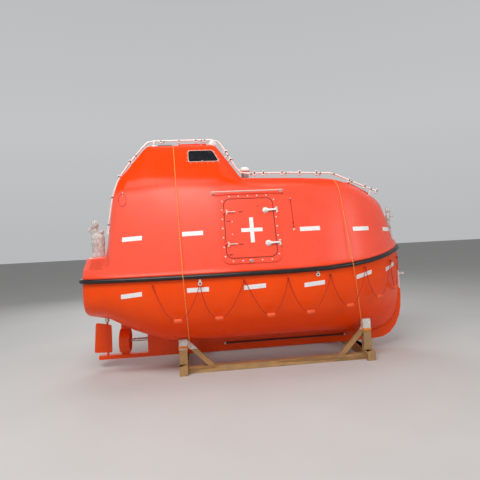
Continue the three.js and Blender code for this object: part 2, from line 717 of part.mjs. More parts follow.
function sprayPipe() {
  const line = PIPE_ROUTE.map(([x, z]) => new THREE.Vector3(x, PIPE_Y, z));
  const curve = new THREE.CatmullRomCurve3(line, false, "catmullrom", 0.2);
  const many = curve.getSpacedPoints(400);
  const nearest = (x) => many.reduce((best, p) => (Math.abs(p.x - x) < Math.abs(best.x - x) ? p : best));
  let pipe = solid(new THREE.ExtrudeGeometry(circle(PIPE_R, 8), { extrudePath: curve, steps: 46 }));
  PIPE_NOZZLES.forEach((x) => {
    const p = nearest(x);
    const next = nearest(x + 12);
    const way = next.clone().sub(p).normalize();
    const up = new THREE.Vector3(-way.z, 0, way.x);
    const [low, high] = [p.clone().addScaledVector(up, -30), p.clone().addScaledVector(up, 13)];
    pipe = pipe.add(rod(low.toArray(), high.toArray(), 9, 5));
  });
  PIPE_FEET.forEach((x) => {
    const p = nearest(x);
    const next = nearest(x + 12);
    const way = next.clone().sub(p).normalize();
    const down = new THREE.Vector3(way.z, 0, -way.x);
    const foot = p.clone().addScaledVector(down, 160);
    pipe = pipe.add(rod(p.toArray(), foot.toArray(), 8, 6));
  });
  return largest(pipe.subtract(canopyClear));
}

// The biggest separate piece of a solid
function largest(manifold) {
  const pieces = manifold.decompose();
  return pieces.reduce((best, piece) => (piece.volume() > best.volume() ? piece : best));
}

add("spray_pipe", sprayPipe(), MATERIALS.white);

// Deck fittings

// A lifting hook in its protective wrap: a post through oval rings [height, middle, half along, half
// across], and a flat outline [along, height, corner radius] of what stands out at its head
function wrappedHook(levels, outline, thickness) {
  const sides = 12;
  const rings = levels.map(([z, x, along, across]) =>
    Array.from({ length: sides }, (_, i) => {
      const angle = (2 * Math.PI * i) / sides;
      return new THREE.Vector3(x + along * Math.cos(angle), across * Math.sin(angle), z);
    }),
  );
  const upright = new Panel([0, 0, 0], [1, 0, 0], [0, -1, 0]);
  const head = upright.plate(rounded(outline), -thickness / 2, thickness / 2);
  return loft(rings).add(head).subtract(canopyClear);
}

const BEAK_X = -2596;
const HOOK_AFT = {
  levels: [
    [1600, -2412, 84, 64], [1760, -2414, 92, 70], [1950, -2418, 94, 66], [2050, -2426, 90, 58],
    [2120, -2440, 66, 50], [2200, -2470, 50, 46], [2268, -2468, 22, 20],
  ],
  outline: [
    [-2352, 2010, 20], [-2346, 2118, 16], [-2384, 2142, 14], [-2432, 2096, 10], [-2425, 2180, 16],
    [-2530, 2190, 14], [BEAK_X, 2164, 0], [BEAK_X, 2144, 0], [-2536, 2074, 14], [-2500, 2010, 20],
  ],
};
const HOOK_FORE = {
  levels: [
    [1680, 2340, 46, 42], [1760, 2342, 48, 44], [1900, 2336, 42, 40], [2050, 2333, 42, 38],
    [2150, 2333, 50, 42], [2230, 2333, 46, 38], [2285, 2336, 20, 18],
  ],
  outline: [[2340, 2095, 0], [2422, 2118, 10], [2424, 2142, 10], [2340, 2160, 0]],
};
add("hook_aft", wrappedHook(HOOK_AFT.levels, HOOK_AFT.outline, 70), MATERIALS.wrap);
add("hook_fore", wrappedHook(HOOK_FORE.levels, HOOK_FORE.outline, 26), MATERIALS.wrap);

function dome(x, y, foot, radius, height) {
  const wall = height * 0.45;
  const profile = [[0, -40], [radius, -40], [radius, wall]].map(([r, z]) => new THREE.Vector2(r, z));
  for (let i = 1; i <= 4; i++) {
    const angle = (Math.PI / 2) * (i / 4);
    const [r, z] = [radius * Math.cos(angle), wall + (height - wall) * Math.sin(angle)];
    profile.push(new THREE.Vector2(r, z));
  }
  profile[profile.length - 1].x = 0;
  const turned = new THREE.LatheGeometry(profile, 20).rotateX(Math.PI / 2).translate(x, y, foot);
  return solid(turned).subtract(canopyClear);
}

add("ventilator", dome(-75, -60, 2835, 92, 205), MATERIALS.white);
add("position_lamp", dome(-1520, -325, 3356, 32, 92), MATERIALS.white);

const RELEASE = { x: 2512, z: 1164, radius: 24 };

// The painter's release: a pin out of the stem with a ball on its end
function painterRelease() {
  const pin = rod([STEM + GAP, 0, RELEASE.z], [RELEASE.x, 0, RELEASE.z], 11, 12);
  const plate = rod([STEM + GAP, 0, RELEASE.z], [STEM + 8, 0, RELEASE.z], 34, 16);
  const ball = new THREE.SphereGeometry(RELEASE.radius, 14, 10).rotateZ(Math.PI / 2);
  return join([pin, plate, solid(ball.translate(RELEASE.x, 0, RELEASE.z))]);
}
add("painter_release", painterRelease(), MATERIALS.steel);

// A three-sided socket on the tower's roof
function lampSocket() {
  const profile = [[0, -40], [62, -40], [62, 8], [16, 74], [0, 74]].map(([r, z]) => new THREE.Vector2(r, z));
  const turned = new THREE.LatheGeometry(profile, 4).rotateX(Math.PI / 2).translate(-596, -314, 3364);
  return solid(turned).subtract(canopyClear);
}
add("lamp_socket", lampSocket(), MATERIALS.white);

// Propeller, its guard and the rudder

function propeller() {
  const hub = rod([PROP_X - 45, 0, PROP_Z], [PROP_X + 45, 0, PROP_Z], 36, 16);
  const blade = new THREE.Shape();
  const reach = (PROP_R - 30) / 2;
  blade.absellipse(PROP_R - reach, 0, reach, 46, 0, 2 * Math.PI);
  const geometry = new THREE.ExtrudeGeometry(blade, { depth: 8, bevelEnabled: false, curveSegments: 8 });
  geometry.translate(0, 0, -4).rotateY(Math.PI / 2);
  let all = hub;
  for (let i = 0; i < 3; i++) {
    const turned = geometry.clone().rotateZ(0.5);
    turned.rotateX((2 * Math.PI * i) / 3).translate(PROP_X, 0, PROP_Z);
    all = all.add(solid(turned));
  }
  return all;
}

const RING_IN = PROP_R + 14;
const RING_OUT = RING_IN + 12;
const STOCK_R = 17;
const STOCK_TOP = 748;

function propGuard() {
  const ring = rod([PROP_X - 75, 0, PROP_Z], [PROP_X + 75, 0, PROP_Z], RING_OUT, 32);
  const hole = rod([PROP_X - 90, 0, PROP_Z], [PROP_X + 90, 0, PROP_Z], RING_IN, 32);
  const foot = box(PROP_X - 60, PROP_X + 60, -28, 28, SHOE_TOP + GAP, PROP_Z - RING_IN - 4);
  const head = box(PROP_X - 60, PROP_X + 60, -28, 28, PROP_Z + RING_IN + 4, 900);
  return join([ring.subtract(hole), foot, head.subtract(hullClear)]);
}

function sternTube() {
  const housing = rod([KEEL_END - GAP, 0, PROP_Z], [KEEL_END - 220, 0, PROP_Z], 26, 16);
  return housing.add(rod([KEEL_END - 40, 0, PROP_Z], [PROP_X + 45 + GAP, 0, PROP_Z], 15, 16));
}

function rudder() {
  const [fore, aft] = [RUDDER_X + 62, RUDDER_X - 172];
  const blade = rounded([[aft - 28, 235, 30], [fore, 225, 20], [fore, 640, 30], [aft, 690, 40]]);
  const upright = new Panel([0, 0, 0], [1, 0, 0], [0, -1, 0]);
  const plate = upright.plate(blade, -14, 14);
  const stock = rod([RUDDER_X, 0, SHOE_TOP + GAP], [RUDDER_X, 0, STOCK_TOP], STOCK_R, 16);
  return plate.add(stock);
}

// The stock's bearing under the hull
function rudderBearing() {
  const body = rod([RUDDER_X, 0, STOCK_TOP - 50], [RUDDER_X, 0, 1000], 34, 16);
  const bore = rod([RUDDER_X, 0, STOCK_TOP - 100], [RUDDER_X, 0, STOCK_TOP + 7], STOCK_R + 0.7, 16);
  return body.subtract(hullClear).subtract(bore);
}

add("propeller", propeller(), MATERIALS.bronze);
add("propeller_guard", propGuard(), MATERIALS.hull);
add("stern_tube", sternTube(), MATERIALS.steel);
add("rudder", rudder(), MATERIALS.hull);
add("rudder_bearing", rudderBearing(), MATERIALS.steel);

// Grab rails along the keel

function keelRail(sign) {
  const y = sign * 78;
  const face = sign * (KEEL_WIDTH / 2 + GAP);
  const [aft, fore, z] = [-536, 1430, 252];
  const rail = rod([aft, y, z], [fore, y, z], 12, 10);
  const arms = [aft + 10, 120, 780, fore - 10].map((x) =>
    box(x - 10, x + 10, Math.min(face, y), Math.max(face, y), z - 9, z + 9),
  );
  return join([rail, ...arms]);
}
SIDES.forEach(({ name, sign }) => add(`keel_rail_${name}`, keelRail(sign), MATERIALS.dark));

// Inside: floor, benches, engine, helm

const FLOOR = { low: 600, high: 625 };
const BENCH = { inner: 430, high: 1030 };

const floorPlate = box(-2100, 2000, -1100, 1100, FLOOR.low, FLOOR.high).intersect(hullRoom);
add("cabin_floor", floorPlate, MATERIALS.liner);
SIDES.forEach(({ name, sign }) => {
  const [y0, y1] = sign > 0 ? [BENCH.inner, 1100] : [-1100, -BENCH.inner];
  const bench = box(-2050, 1750, y0, y1, FLOOR.high + GAP, BENCH.high).intersect(hullRoom);
  add(`bench_${name}`, bench, MATERIALS.liner);
});
const ENGINE = { aft: -1820, fore: -1080, half: 260, low: FLOOR.high + GAP, high: 1160 };
const engine = box(ENGINE.aft, ENGINE.fore, -ENGINE.half, ENGINE.half, ENGINE.low, ENGINE.high);
add("engine", engine, MATERIALS.engine);

function helmSeat() {
  const [x, foot] = [-1330, ENGINE.high + GAP];
  return join([
    box(x - 150, x + 150, -150, 150, foot, foot + 20),
    box(x - 45, x + 45, -45, 45, foot, 2000),
    box(x - 210, x + 210, -220, 220, 1990, 2080),
    box(x - 230, x - 150, -220, 220, 1990, 2560),
  ]);
}
add("helm_seat", helmSeat(), MATERIALS.seat);

function helmConsole() {
  const foot = FLOOR.high + GAP;
  const rim = new THREE.TorusGeometry(165, 11, 6, 16).rotateY(Math.PI / 2 + 0.35);
  const wheel = solid(rim.translate(-905, 0, 2330));
  return join([
    box(-800, -640, -170, 170, foot, 2240),
    box(-830, -610, -210, 210, 2230, 2400),
    rod([-900, 0, 2328], [-800, 0, 2290], 14, 12),
    rod([-905, -165, 2330], [-905, 165, 2330], 9, 8),
    wheel,
  ]);
}
add("helm_console", helmConsole(), MATERIALS.engine);

// Lifelines with their floats

const FLOAT = { half: 56, radius: 28 };

function lifeline(sign) {
  const outside = (x) => sign * (half(x) + EYE_STANDOFF);
  const points = [];
  const floats = [];
  EYES.forEach((eye, i) => {
    points.push(new THREE.Vector3(eye.x, outside(eye.x), eye.z));
    const next = EYES[i + 1];
    if (!next) return;
    const skew = Math.log(eye.float) / Math.log(0.5);
    for (let k = 1; k < 6; k++) {
      const s = k / 6;
      const t = s ** skew;
      const x = eye.x + t * (next.x - eye.x);
      const z = eye.z + t * (next.z - eye.z) - 4 * eye.drop * s * (1 - s);
      points.push(new THREE.Vector3(x, outside(x), z));
      if (k === 3) floats.push([x, z]);
    }
  });
  const curve = new THREE.CatmullRomCurve3(points, false, "centripetal");
  const rope = solid(new THREE.ExtrudeGeometry(circle(ROPE_R, 8), { extrudePath: curve, steps: 56 }));
  const end = (x, z) => [x, outside(x), z + 4];
  const buoys = floats.map(([x, z]) => rod(end(x - FLOAT.half, z), end(x + FLOAT.half, z), FLOAT.radius, 8));
  return join([rope, ...buoys]);
}
SIDES.forEach(({ name, sign }) => add(`lifeline_${name}`, lifeline(sign), MATERIALS.rope));

// A thin line lying against the canopy's starboard side through points [x, z]
function lyingLine(route, radius) {
  const lift = (radius + GAP) * Math.hypot(1, LEAN);
  const points = route.map(([x, z]) => new THREE.Vector3(x, -sideHalf(x, z) - lift, z));
  const curve = new THREE.CatmullRomCurve3(points, false, "centripetal");
  const tube = new THREE.ExtrudeGeometry(circle(radius, 8), { extrudePath: curve, steps: 28 });
  return solid(tube).subtract(canopyClear);
}

// The eye on the canopy's starboard side that a thin line hangs from
function lineEye({ x, top }) {
  const side = -sideHalf(x, top);
  const body = box(x - EYE.half, x + EYE.half, side - EYE.reach, side + EYE.foot, top, top + EYE.high);
  return body.subtract(canopyClear);
}

const tether = Array.from({ length: 15 }, (_, i) => {
  const t = i / 14;
  const z = TETHER.top - 1.5 + t * (TETHER.end - TETHER.top);
  return [TETHER.x + TETHER.sway * Math.sin(2.6 * t), z];
});
const loop = Array.from({ length: 25 }, (_, i) => {
  const angle = (Math.PI * (8 + (344 * i) / 24)) / 180;
  const [middle, reach] = [(LOOP.top + LOOP.end) / 2 - 4, (LOOP.top - LOOP.end) / 2];
  return [LOOP.x + LOOP.half * Math.sin(angle), middle + reach * Math.cos(angle)];
});
add("tether_eye", lineEye(TETHER), MATERIALS.steel);
add("loop_eye", lineEye(LOOP), MATERIALS.steel);
add("tether_line", lyingLine(tether, TETHER.radius), MATERIALS.rope);
add("line_loop", lyingLine(loop, LOOP.radius), MATERIALS.rope);

// Cradle of timber under the keel and the bilges

const FRAMES = [
  { name: "aft", x: -1160, brace: 1, top: 480 },
  { name: "fore", x: 1572, brace: -1, top: 580 },
];
const POST_Y = 600;
const SKID_TOP = 80;

function cradleFrame({ x, brace, top }) {
  const beam = box(x - 60, x + 60, -760, 760, 0, KEEL_BOTTOM - GAP);
  const posts = SIDES.map(({ sign }) =>
    box(x - 58, x + 58, sign * POST_Y - 45, sign * POST_Y + 45, KEEL_BOTTOM - 40, top).subtract(hullClear),
  );
  const struts = SIDES.map(({ sign }) => {
    const upright = new Panel([x, sign * POST_Y, 0], [1, 0, 0], [0, -1, 0]);
    const foot = SKID_TOP + GAP;
    const corners = [[55, 378], [352, foot], [452, foot], [55, 472]];
    const shape = rounded(corners.map(([u, v]) => [brace * u, v, 0]));
    return upright.plate(shape, -22, 22);
  });
  return join([beam, ...posts.map(largestLow), ...struts]).subtract(hullClear);
}

// Of a post cut by the hull, the stump below it
function largestLow(manifold) {
  const bottom = (piece) => piece.boundingBox().min[2];
  const pieces = manifold.decompose();
  return pieces.reduce((best, piece) => (bottom(piece) < bottom(best) ? piece : best));
}

FRAMES.forEach((frame) => add(`cradle_${frame.name}`, cradleFrame(frame), MATERIALS.wood));
SIDES.forEach(({ name, sign }) => {
  const [a, b] = [FRAMES[0].x + 60 + GAP, FRAMES[1].x - 60 - GAP];
  const skid = box(a, b, sign * POST_Y - 60, sign * POST_Y + 60, 0, SKID_TOP);
  add(`cradle_skid_${name}`, skid, MATERIALS.wood);
});

// The overall length runs from the aft hook's beak to the ball of the painter's release
lifeboat.position.x = -(BEAK_X + RELEASE.x + RELEASE.radius) / 2;

export default lifeboat;
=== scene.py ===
"""The looks of a totally enclosed lifeboat in its timber cradle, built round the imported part.

Metres, +X to the bow, +Y to port, +Z up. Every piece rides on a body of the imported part.
"""

import json
import logging
import math
from collections.abc import Iterable, Sequence
from dataclasses import dataclass, field
from enum import Enum

import bmesh
import bpy
import numpy as np
from mathutils import Matrix, Vector
from mathutils.bvhtree import BVHTree

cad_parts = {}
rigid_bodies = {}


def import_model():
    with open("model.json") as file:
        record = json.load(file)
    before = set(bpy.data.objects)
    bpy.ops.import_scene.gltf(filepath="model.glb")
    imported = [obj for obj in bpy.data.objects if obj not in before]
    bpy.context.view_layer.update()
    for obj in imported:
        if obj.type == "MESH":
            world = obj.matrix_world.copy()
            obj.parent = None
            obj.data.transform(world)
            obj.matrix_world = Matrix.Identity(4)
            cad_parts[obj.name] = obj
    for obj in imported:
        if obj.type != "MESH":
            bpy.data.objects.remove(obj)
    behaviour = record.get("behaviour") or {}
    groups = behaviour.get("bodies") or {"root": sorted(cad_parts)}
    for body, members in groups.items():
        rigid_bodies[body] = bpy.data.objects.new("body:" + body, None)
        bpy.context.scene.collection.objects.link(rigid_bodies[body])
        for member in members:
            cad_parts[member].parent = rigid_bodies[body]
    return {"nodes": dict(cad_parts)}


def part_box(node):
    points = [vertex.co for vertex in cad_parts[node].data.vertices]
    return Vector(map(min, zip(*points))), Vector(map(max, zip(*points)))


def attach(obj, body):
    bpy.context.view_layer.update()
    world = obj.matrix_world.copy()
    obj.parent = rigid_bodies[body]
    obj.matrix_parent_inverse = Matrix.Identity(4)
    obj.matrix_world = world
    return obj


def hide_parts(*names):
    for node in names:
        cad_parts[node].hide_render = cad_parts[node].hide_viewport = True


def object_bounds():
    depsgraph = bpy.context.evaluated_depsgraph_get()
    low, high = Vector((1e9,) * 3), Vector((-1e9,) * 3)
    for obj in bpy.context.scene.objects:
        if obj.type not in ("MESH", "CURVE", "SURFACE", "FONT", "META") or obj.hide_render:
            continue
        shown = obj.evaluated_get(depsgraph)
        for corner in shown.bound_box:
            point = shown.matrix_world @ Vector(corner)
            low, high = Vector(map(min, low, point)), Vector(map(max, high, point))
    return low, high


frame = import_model()
CAD_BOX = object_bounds()
log = logging.getLogger("lifeboat")

Colour = tuple[float, float, float, float]
Point = tuple[float, float, float]


def rgb(red: int, green: int, blue: int) -> Colour:
    """A linear colour from everyday 0 to 255 values."""
    linear = [((c / 255 + 0.055) / 1.055) ** 2.4 if c > 10 else c / 3294.6 for c in (red, green, blue)]
    return (*linear, 1.0)


class Side(Enum):
    """The two sides of the boat, with the sign of their y."""

    STBD = -1
    PORT = 1

    @property
    def tag(self) -> str:
        """The side's ending in piece and node names."""
        return self.name.lower()


class Slot(Enum):
    """The record's material slots."""

    HULL = "hull_grp"
    CANOPY = "canopy_grp"
    RUBBER = "fender_rubber"
    STEEL = "stainless"
    WHITE = "white_metal"
    GLASS = "window_glass"
    LINER = "liner"
    ENGINE = "engine_paint"
    SEAT = "seat"
    BRONZE = "bronze"
    TIMBER = "timber"
    WRAP = "wrap_film"
    ROPE = "lifeline_rope"
    DARK = "dark_metal"


# Shader maths


class Wire:
    """One socket of a material, which does arithmetic by adding Math nodes."""

    def __init__(self, paint: "Paint", link: bpy.types.NodeSocket) -> None:
        """Keeps the material and the socket."""
        self.paint = paint
        self.link = link

    def maths(self, operation: str, *others: "Wire | float") -> "Wire":
        """Adds a Math node.

        Args:
            operation: the node's operation.
            others: its second and third values.

        Returns:
            The node's value.
        """
        values = dict(enumerate((self, *others)))
        return self.paint.node("ShaderNodeMath", {"operation": operation}, values)

    def __add__(self, other: "Wire | float") -> "Wire":
        """The sum."""
        return self.maths("ADD", other)

    __radd__ = __add__

    def __mul__(self, other: "Wire | float") -> "Wire":
        """The product."""
        return self.maths("MULTIPLY", other)

    __rmul__ = __mul__

    def __sub__(self, other: "Wire | float") -> "Wire":
        """The difference."""
        return self.maths("SUBTRACT", other)

    def __rsub__(self, other: float) -> "Wire":
        """A number less this value."""
        return self.paint.node("ShaderNodeMath", {"operation": "SUBTRACT"}, {0: other, 1: self})

    def __truediv__(self, other: "Wire | float") -> "Wire":
        """The quotient."""
        return self.maths("DIVIDE", other)

    def __pow__(self, other: "Wire | float") -> "Wire":
        """The power."""
        return self.maths("POWER", other)

    def size(self) -> "Wire":
        """The value without its sign."""
        return self.maths("ABSOLUTE")

    def top(self, other: "Wire | float") -> "Wire":
        """The larger of two values."""
        return self.maths("MAXIMUM", other)

    def rise(self, low: float, high: float) -> "Wire":
        """A soft step from 0 at low to 1 at high."""
        values = {"Value": self, "From Min": low, "From Max": high}
        return self.paint.node("ShaderNodeMapRange", {"interpolation_type": "SMOOTHSTEP"}, values)

    def band(self, low: float, high: float, soft: float) -> "Wire":
        """One between low and high, softly falling to 0 outside."""
        return self.rise(low - soft, low) * (1 - self.rise(high, high + soft))


class Paint:
    """A material under construction round one Principled shader."""

    def __init__(self, name: str, uniform: dict[str, float | Colour]) -> None:
        """Makes the material.

        Args:
            name: its name.
            uniform: what is the same all over the surface, by socket.
        """
        self.material = bpy.data.materials.new(name)
        self.material.use_nodes = True
        self.tree = self.material.node_tree
        self.tree.nodes.clear()
        self.shader = self.tree.nodes.new("ShaderNodeBsdfPrincipled")
        output = self.tree.nodes.new("ShaderNodeOutputMaterial")
        self.tree.links.new(self.shader.outputs[0], output.inputs[0])
        for socket, value in uniform.items():
            self.shader.inputs[socket].default_value = value

    def node(self, kind: str, settings: dict, values: dict, output: int | str = 0) -> Wire:
        """Adds any other node.

        Args:
            kind: the node's type.
            settings: its options, and "stops" for a ramp as (place, colour) pairs.
            values: numbers, colours or wires by socket name or number.
            output: which output is wanted.

        Returns:
            That output.
        """
        made = self.tree.nodes.new(kind)
        for name, value in settings.items():
            if name == "stops":
                self._stops(made.color_ramp, value)
            else:
                setattr(made, name, value)
        for name, value in values.items():
            if isinstance(value, Wire):
                self.tree.links.new(value.link, made.inputs[name])
            else:
                made.inputs[name].default_value = value
        return Wire(self, made.outputs[output])

    @staticmethod
    def _stops(ramp: bpy.types.ColorRamp, stops: Sequence[tuple[float, Colour]]) -> None:
        """Sets a ramp's stops."""
        while len(ramp.elements) < len(stops):
            ramp.elements.new(0.5)
        for element, (place, colour) in zip(ramp.elements, stops, strict=True):
            element.position = place
            element.color = colour

    def place(self, stretch: Point = (1, 1, 1), turn: Point = (0, 0, 0)) -> Wire:
        """Object coordinates, stretched and turned."""
        where = self.node("ShaderNodeTexCoord", {}, {}, "Object")
        if stretch == (1, 1, 1) and turn == (0, 0, 0):
            return where
        return self.node("ShaderNodeMapping", {}, {"Vector": where, "Scale": stretch, "Rotation": turn})

    def axes(self) -> tuple[Wire, Wire, Wire]:
        """Object x, y and z."""
        where = self.place()
        return tuple(self.node("ShaderNodeSeparateXYZ", {}, {0: where}, i) for i in range(3))

    def noise(
        self, scale: float, detail: float = 3, stretch: Point = (1, 1, 1), turn: Point = (0, 0, 0)
    ) -> Wire:
        """Cloudy noise between 0 and 1."""
        values = {"Vector": self.place(stretch, turn), "Scale": scale, "Detail": detail}
        return self.node("ShaderNodeTexNoise", {}, values, "Fac")

    def cells(self, scale: float, feature: str = "F1", stretch: Point = (1, 1, 1)) -> Wire:
        """Distance within a cell pattern."""
        values = {"Vector": self.place(stretch), "Scale": scale}
        return self.node("ShaderNodeTexVoronoi", {"feature": feature}, values, "Distance")

    def mix(self, share: Wire | float, first: Wire | Colour, second: Wire | Colour, how: str = "MIX") -> Wire:
        """Mixes two colours."""
        settings = {"data_type": "RGBA", "blend_type": how}
        return self.node("ShaderNodeMix", settings, {0: share, 6: first, 7: second}, 2)

    def relief(self, *layers: tuple[Wire, float]) -> None:
        """Bumps the surface.

        Args:
            layers: pairs of a height pattern and its depth in metres.
        """
        normal = None
        for height, depth in layers:
            values = {"Height": height, "Distance": depth, "Strength": 1.0}
            if normal is not None:
                values["Normal"] = normal
            normal = self.node("ShaderNodeBump", {}, values)
        self.feed("Normal", normal)

    def feed(self, socket: str, value: Wire) -> None:
        """Links a value into the shader."""
        self.tree.links.new(value.link, self.shader.inputs[socket])


# Finishes


@dataclass(frozen=True)
class Stain:
    """A rust mark on a side of the boat, in the plane of x and z."""

    x: float
    z: float
    wide: float
    high: float


@dataclass(frozen=True)
class Gelcoat:
    """Glossy moulded resin, paler in a band of height, which is painted reflection and light, with dust and
    runs.
    """

    name: str
    deep: Colour
    pale: Colour
    pale_low: float
    pale_high: float
    soft: float
    stains: tuple[Stain, ...] = ()
    grime: float = 0.5
    gloss: float = 0.08

    def build(self) -> bpy.types.Material:
        """The material."""
        uniform = {"Coat Roughness": 0.22, "Specular IOR Level": 0.08}
        paint = Paint(self.name, uniform)
        x, y, z = paint.axes()
        wave = paint.noise(0.9, 2)
        # Painted reflection and light: between pale_low and pale_high the colour turns to the pale one,
        # standing in for bright surroundings mirrored in the gloss.
        painted_reflection_band = (z + 0.16 * wave).band(self.pale_low, self.pale_high, self.soft)
        colour = paint.mix(painted_reflection_band, self.deep, self.pale)
        cloud = paint.noise(3.2, 4).rise(0.35, 0.75)
        colour = paint.mix(0.16 * cloud, colour, tuple(0.72 * c for c in self.deep[:3]) + (1.0,))
        runs = paint.noise(2.0, 5, (7, 7, 0.55)).rise(0.56, 0.8)
        dust = paint.noise(14, 5).rise(0.45, 0.8)
        dirt = self.grime * (0.45 * runs + 0.3 * dust)
        colour = paint.mix(0.5 * dirt, colour, rgb(120, 78, 58))
        scuffs = paint.noise(60, 4, (0.12, 0.6, 2.2), (0, 0.3, 0)).rise(0.69, 0.76)
        colour = paint.mix(0.35 * scuffs * self.grime, colour, rgb(235, 190, 170))
        rust = self._rust(paint, x, y, z)
        if rust is not None:
            colour = paint.mix(rust, colour, rgb(92, 44, 20))
        paint.feed("Base Color", colour)
        paint.feed("Coat Weight", self.gloss + 0.25 * painted_reflection_band)
        rough = 0.27 + 0.12 * cloud + 0.22 * dirt + 0.15 * scuffs * self.grime
        paint.feed("Roughness", rough)
        waves, ripple, grain = paint.noise(1.7, 1), paint.noise(9, 2), paint.noise(420, 1)
        paint.relief((waves, 0.010), (ripple, 0.0008), (grain, 0.00005))
        return paint.material

    def _rust(self, paint: Paint, x: Wire, y: Wire, z: Wire) -> Wire | None:
        """The share of rust at each point, or None where there is no stain."""
        if not self.stains:
            return None
        grain = paint.noise(90, 4)
        total = None
        for stain in self.stains:
            across = ((x - stain.x) / stain.wide).size()
            along = ((z - stain.z) / stain.high).size()
            spot = 1 - (across**2 + along**2 + 0.9 * grain).rise(0.55, 1.15)
            total = spot if total is None else total.top(spot)
        return 0.85 * total * (y * -1).rise(0.3, 0.4)


@dataclass(frozen=True)
class Rubber:
    """Black extruded rubber with pale scuffs and dust."""

    name: str
    dark: Colour
    dust: Colour
    rough: float = 0.42

    def build(self) -> bpy.types.Material:
        """The material."""
        paint = Paint(self.name, {"Specular IOR Level": 0.5})
        scuff = paint.noise(26, 5, (0.15, 1, 1)).rise(0.56, 0.75)
        dust = paint.noise(7, 4).rise(0.4, 0.8)
        colour = paint.mix(0.3 * dust, self.dark, self.dust)
        colour = paint.mix(0.14 * scuff, colour, rgb(96, 88, 84))
        paint.feed("Base Color", colour)
        paint.feed("Roughness", self.rough + 0.2 * dust + 0.12 * scuff)
        paint.relief((paint.noise(18, 3), 0.0008), (paint.noise(500, 2), 0.0001))
        return paint.material


@dataclass(frozen=True)
class Metal:
    """Bare metal with fine lines from its brushing and a little staining."""

    name: str
    bright: Colour
    stained: Colour
    rough: float
    lines: Point = (1, 1, 14)

    def build(self) -> bpy.types.Material:
        """The material."""
        paint = Paint(self.name, {})
        lines = paint.noise(60, 3, self.lines)
        stain = paint.noise(22, 5).rise(0.52, 0.78)
        paint.feed("Base Color", paint.mix(0.55 * stain, self.bright, self.stained))
        paint.feed("Metallic", 1 - 0.35 * stain)
        paint.feed("Roughness", self.rough + 0.14 * lines + 0.25 * stain)
        paint.relief((lines, 0.00015), (paint.noise(300, 2), 0.00006))
        return paint.material


@dataclass(frozen=True)
class Coated:
    """Paint or powder coat over metal, with dirt in patches and rusty chips."""

    name: str
    colour: Colour
    worn: Colour
    chip: Colour
    rough: float
    chips: float = 0.8

    def build(self) -> bpy.types.Material:
        """The material."""
        paint = Paint(self.name, {"Specular IOR Level": 0.5})
        patch = paint.noise(16, 5).rise(0.42, 0.8)
        chip = self.chips * paint.noise(75, 5).rise(0.665, 0.7)
        colour = paint.mix(0.5 * patch, self.colour, self.worn)
        paint.feed("Base Color", paint.mix(chip, colour, self.chip))
        paint.feed("Roughness", self.rough + 0.2 * patch + 0.25 * chip)
        paint.relief((chip * -1, 0.0006), (paint.noise(260, 2), 0.00012))
        return paint.material


@dataclass(frozen=True)
class Glazing:
    """Dark glass with a film of dust."""

    name: str
    tint: Colour
    dust: Colour
    alpha: float

    def build(self) -> bpy.types.Material:
        """The material."""
        paint = Paint(self.name, {"IOR": 1.5, "Alpha": self.alpha, "Coat Weight": 0.6})
        film = paint.noise(11, 6).rise(0.45, 0.9)
        runs = paint.noise(5, 4, (8, 8, 0.6)).rise(0.6, 0.8)
        paint.feed("Base Color", paint.mix(0.25 * film + 0.18 * runs, self.tint, self.dust))
        paint.feed("Roughness", 0.06 + 0.25 * film + 0.2 * runs)
        return paint.material


@dataclass(frozen=True)
class Moulded:
    """Moulded plastic, foam or vinyl with a grained skin."""

    name: str
    colour: Colour
    shade: Colour
    rough: float
    grain: float = 240
    depth: float = 0.0003

    def build(self) -> bpy.types.Material:
        """The material."""
        paint = Paint(self.name, {"Specular IOR Level": 0.45})
        cloud = paint.noise(9, 4).rise(0.35, 0.8)
        skin = paint.cells(self.grain)
        speck = paint.noise(160, 3).rise(0.62, 0.75)
        colour = paint.mix(0.6 * cloud, self.colour, self.shade)
        paint.feed("Base Color", paint.mix(0.3 * speck, colour, self.shade))
        paint.feed("Roughness", self.rough + 0.15 * cloud)
        paint.relief((skin, self.depth), (paint.noise(40, 3), 0.0006))
        return paint.material


@dataclass(frozen=True)
class SawnTimber:
    """Rough sawn softwood whose grain runs along one axis, with knots and grey weather."""

    name: str
    light: Colour
    dark: Colour
    along: Point

    def build(self) -> bpy.types.Material:
        """The material."""
        paint = Paint(self.name, {"Specular IOR Level": 0.25})
        stretch = tuple(0.09 if way else 1.0 for way in self.along)
        warp = paint.noise(7, 3, stretch)
        where = paint.place(stretch)
        rings = paint.node(
            "ShaderNodeTexWave",
            {"wave_type": "RINGS", "rings_direction": "SPHERICAL"},
            {"Vector": where, "Scale": 19.0, "Distortion": 7.5, "Detail": 3.0, "Detail Scale": 1.4},
            "Fac",
        )
        knots = 1 - paint.cells(3.1, "F1", tuple(0.45 if way else 1.0 for way in self.along)).rise(0.03, 0.11)
        weather = paint.noise(5, 5).rise(0.4, 0.75)
        colour = paint.mix(0.75 * rings + 0.2 * warp, self.light, self.dark)
        colour = paint.mix(0.42 * weather, colour, rgb(128, 112, 92))
        colour = paint.mix(0.8 * knots, colour, rgb(70, 40, 22))
        paint.feed("Base Color", colour)
        paint.feed("Roughness", 0.68 + 0.2 * weather)
        saw = paint.noise(130, 3, tuple(0.14 if way else 1.0 for way in self.along))
        paint.relief((rings, 0.0006), (saw, 0.0012))
        return paint.material


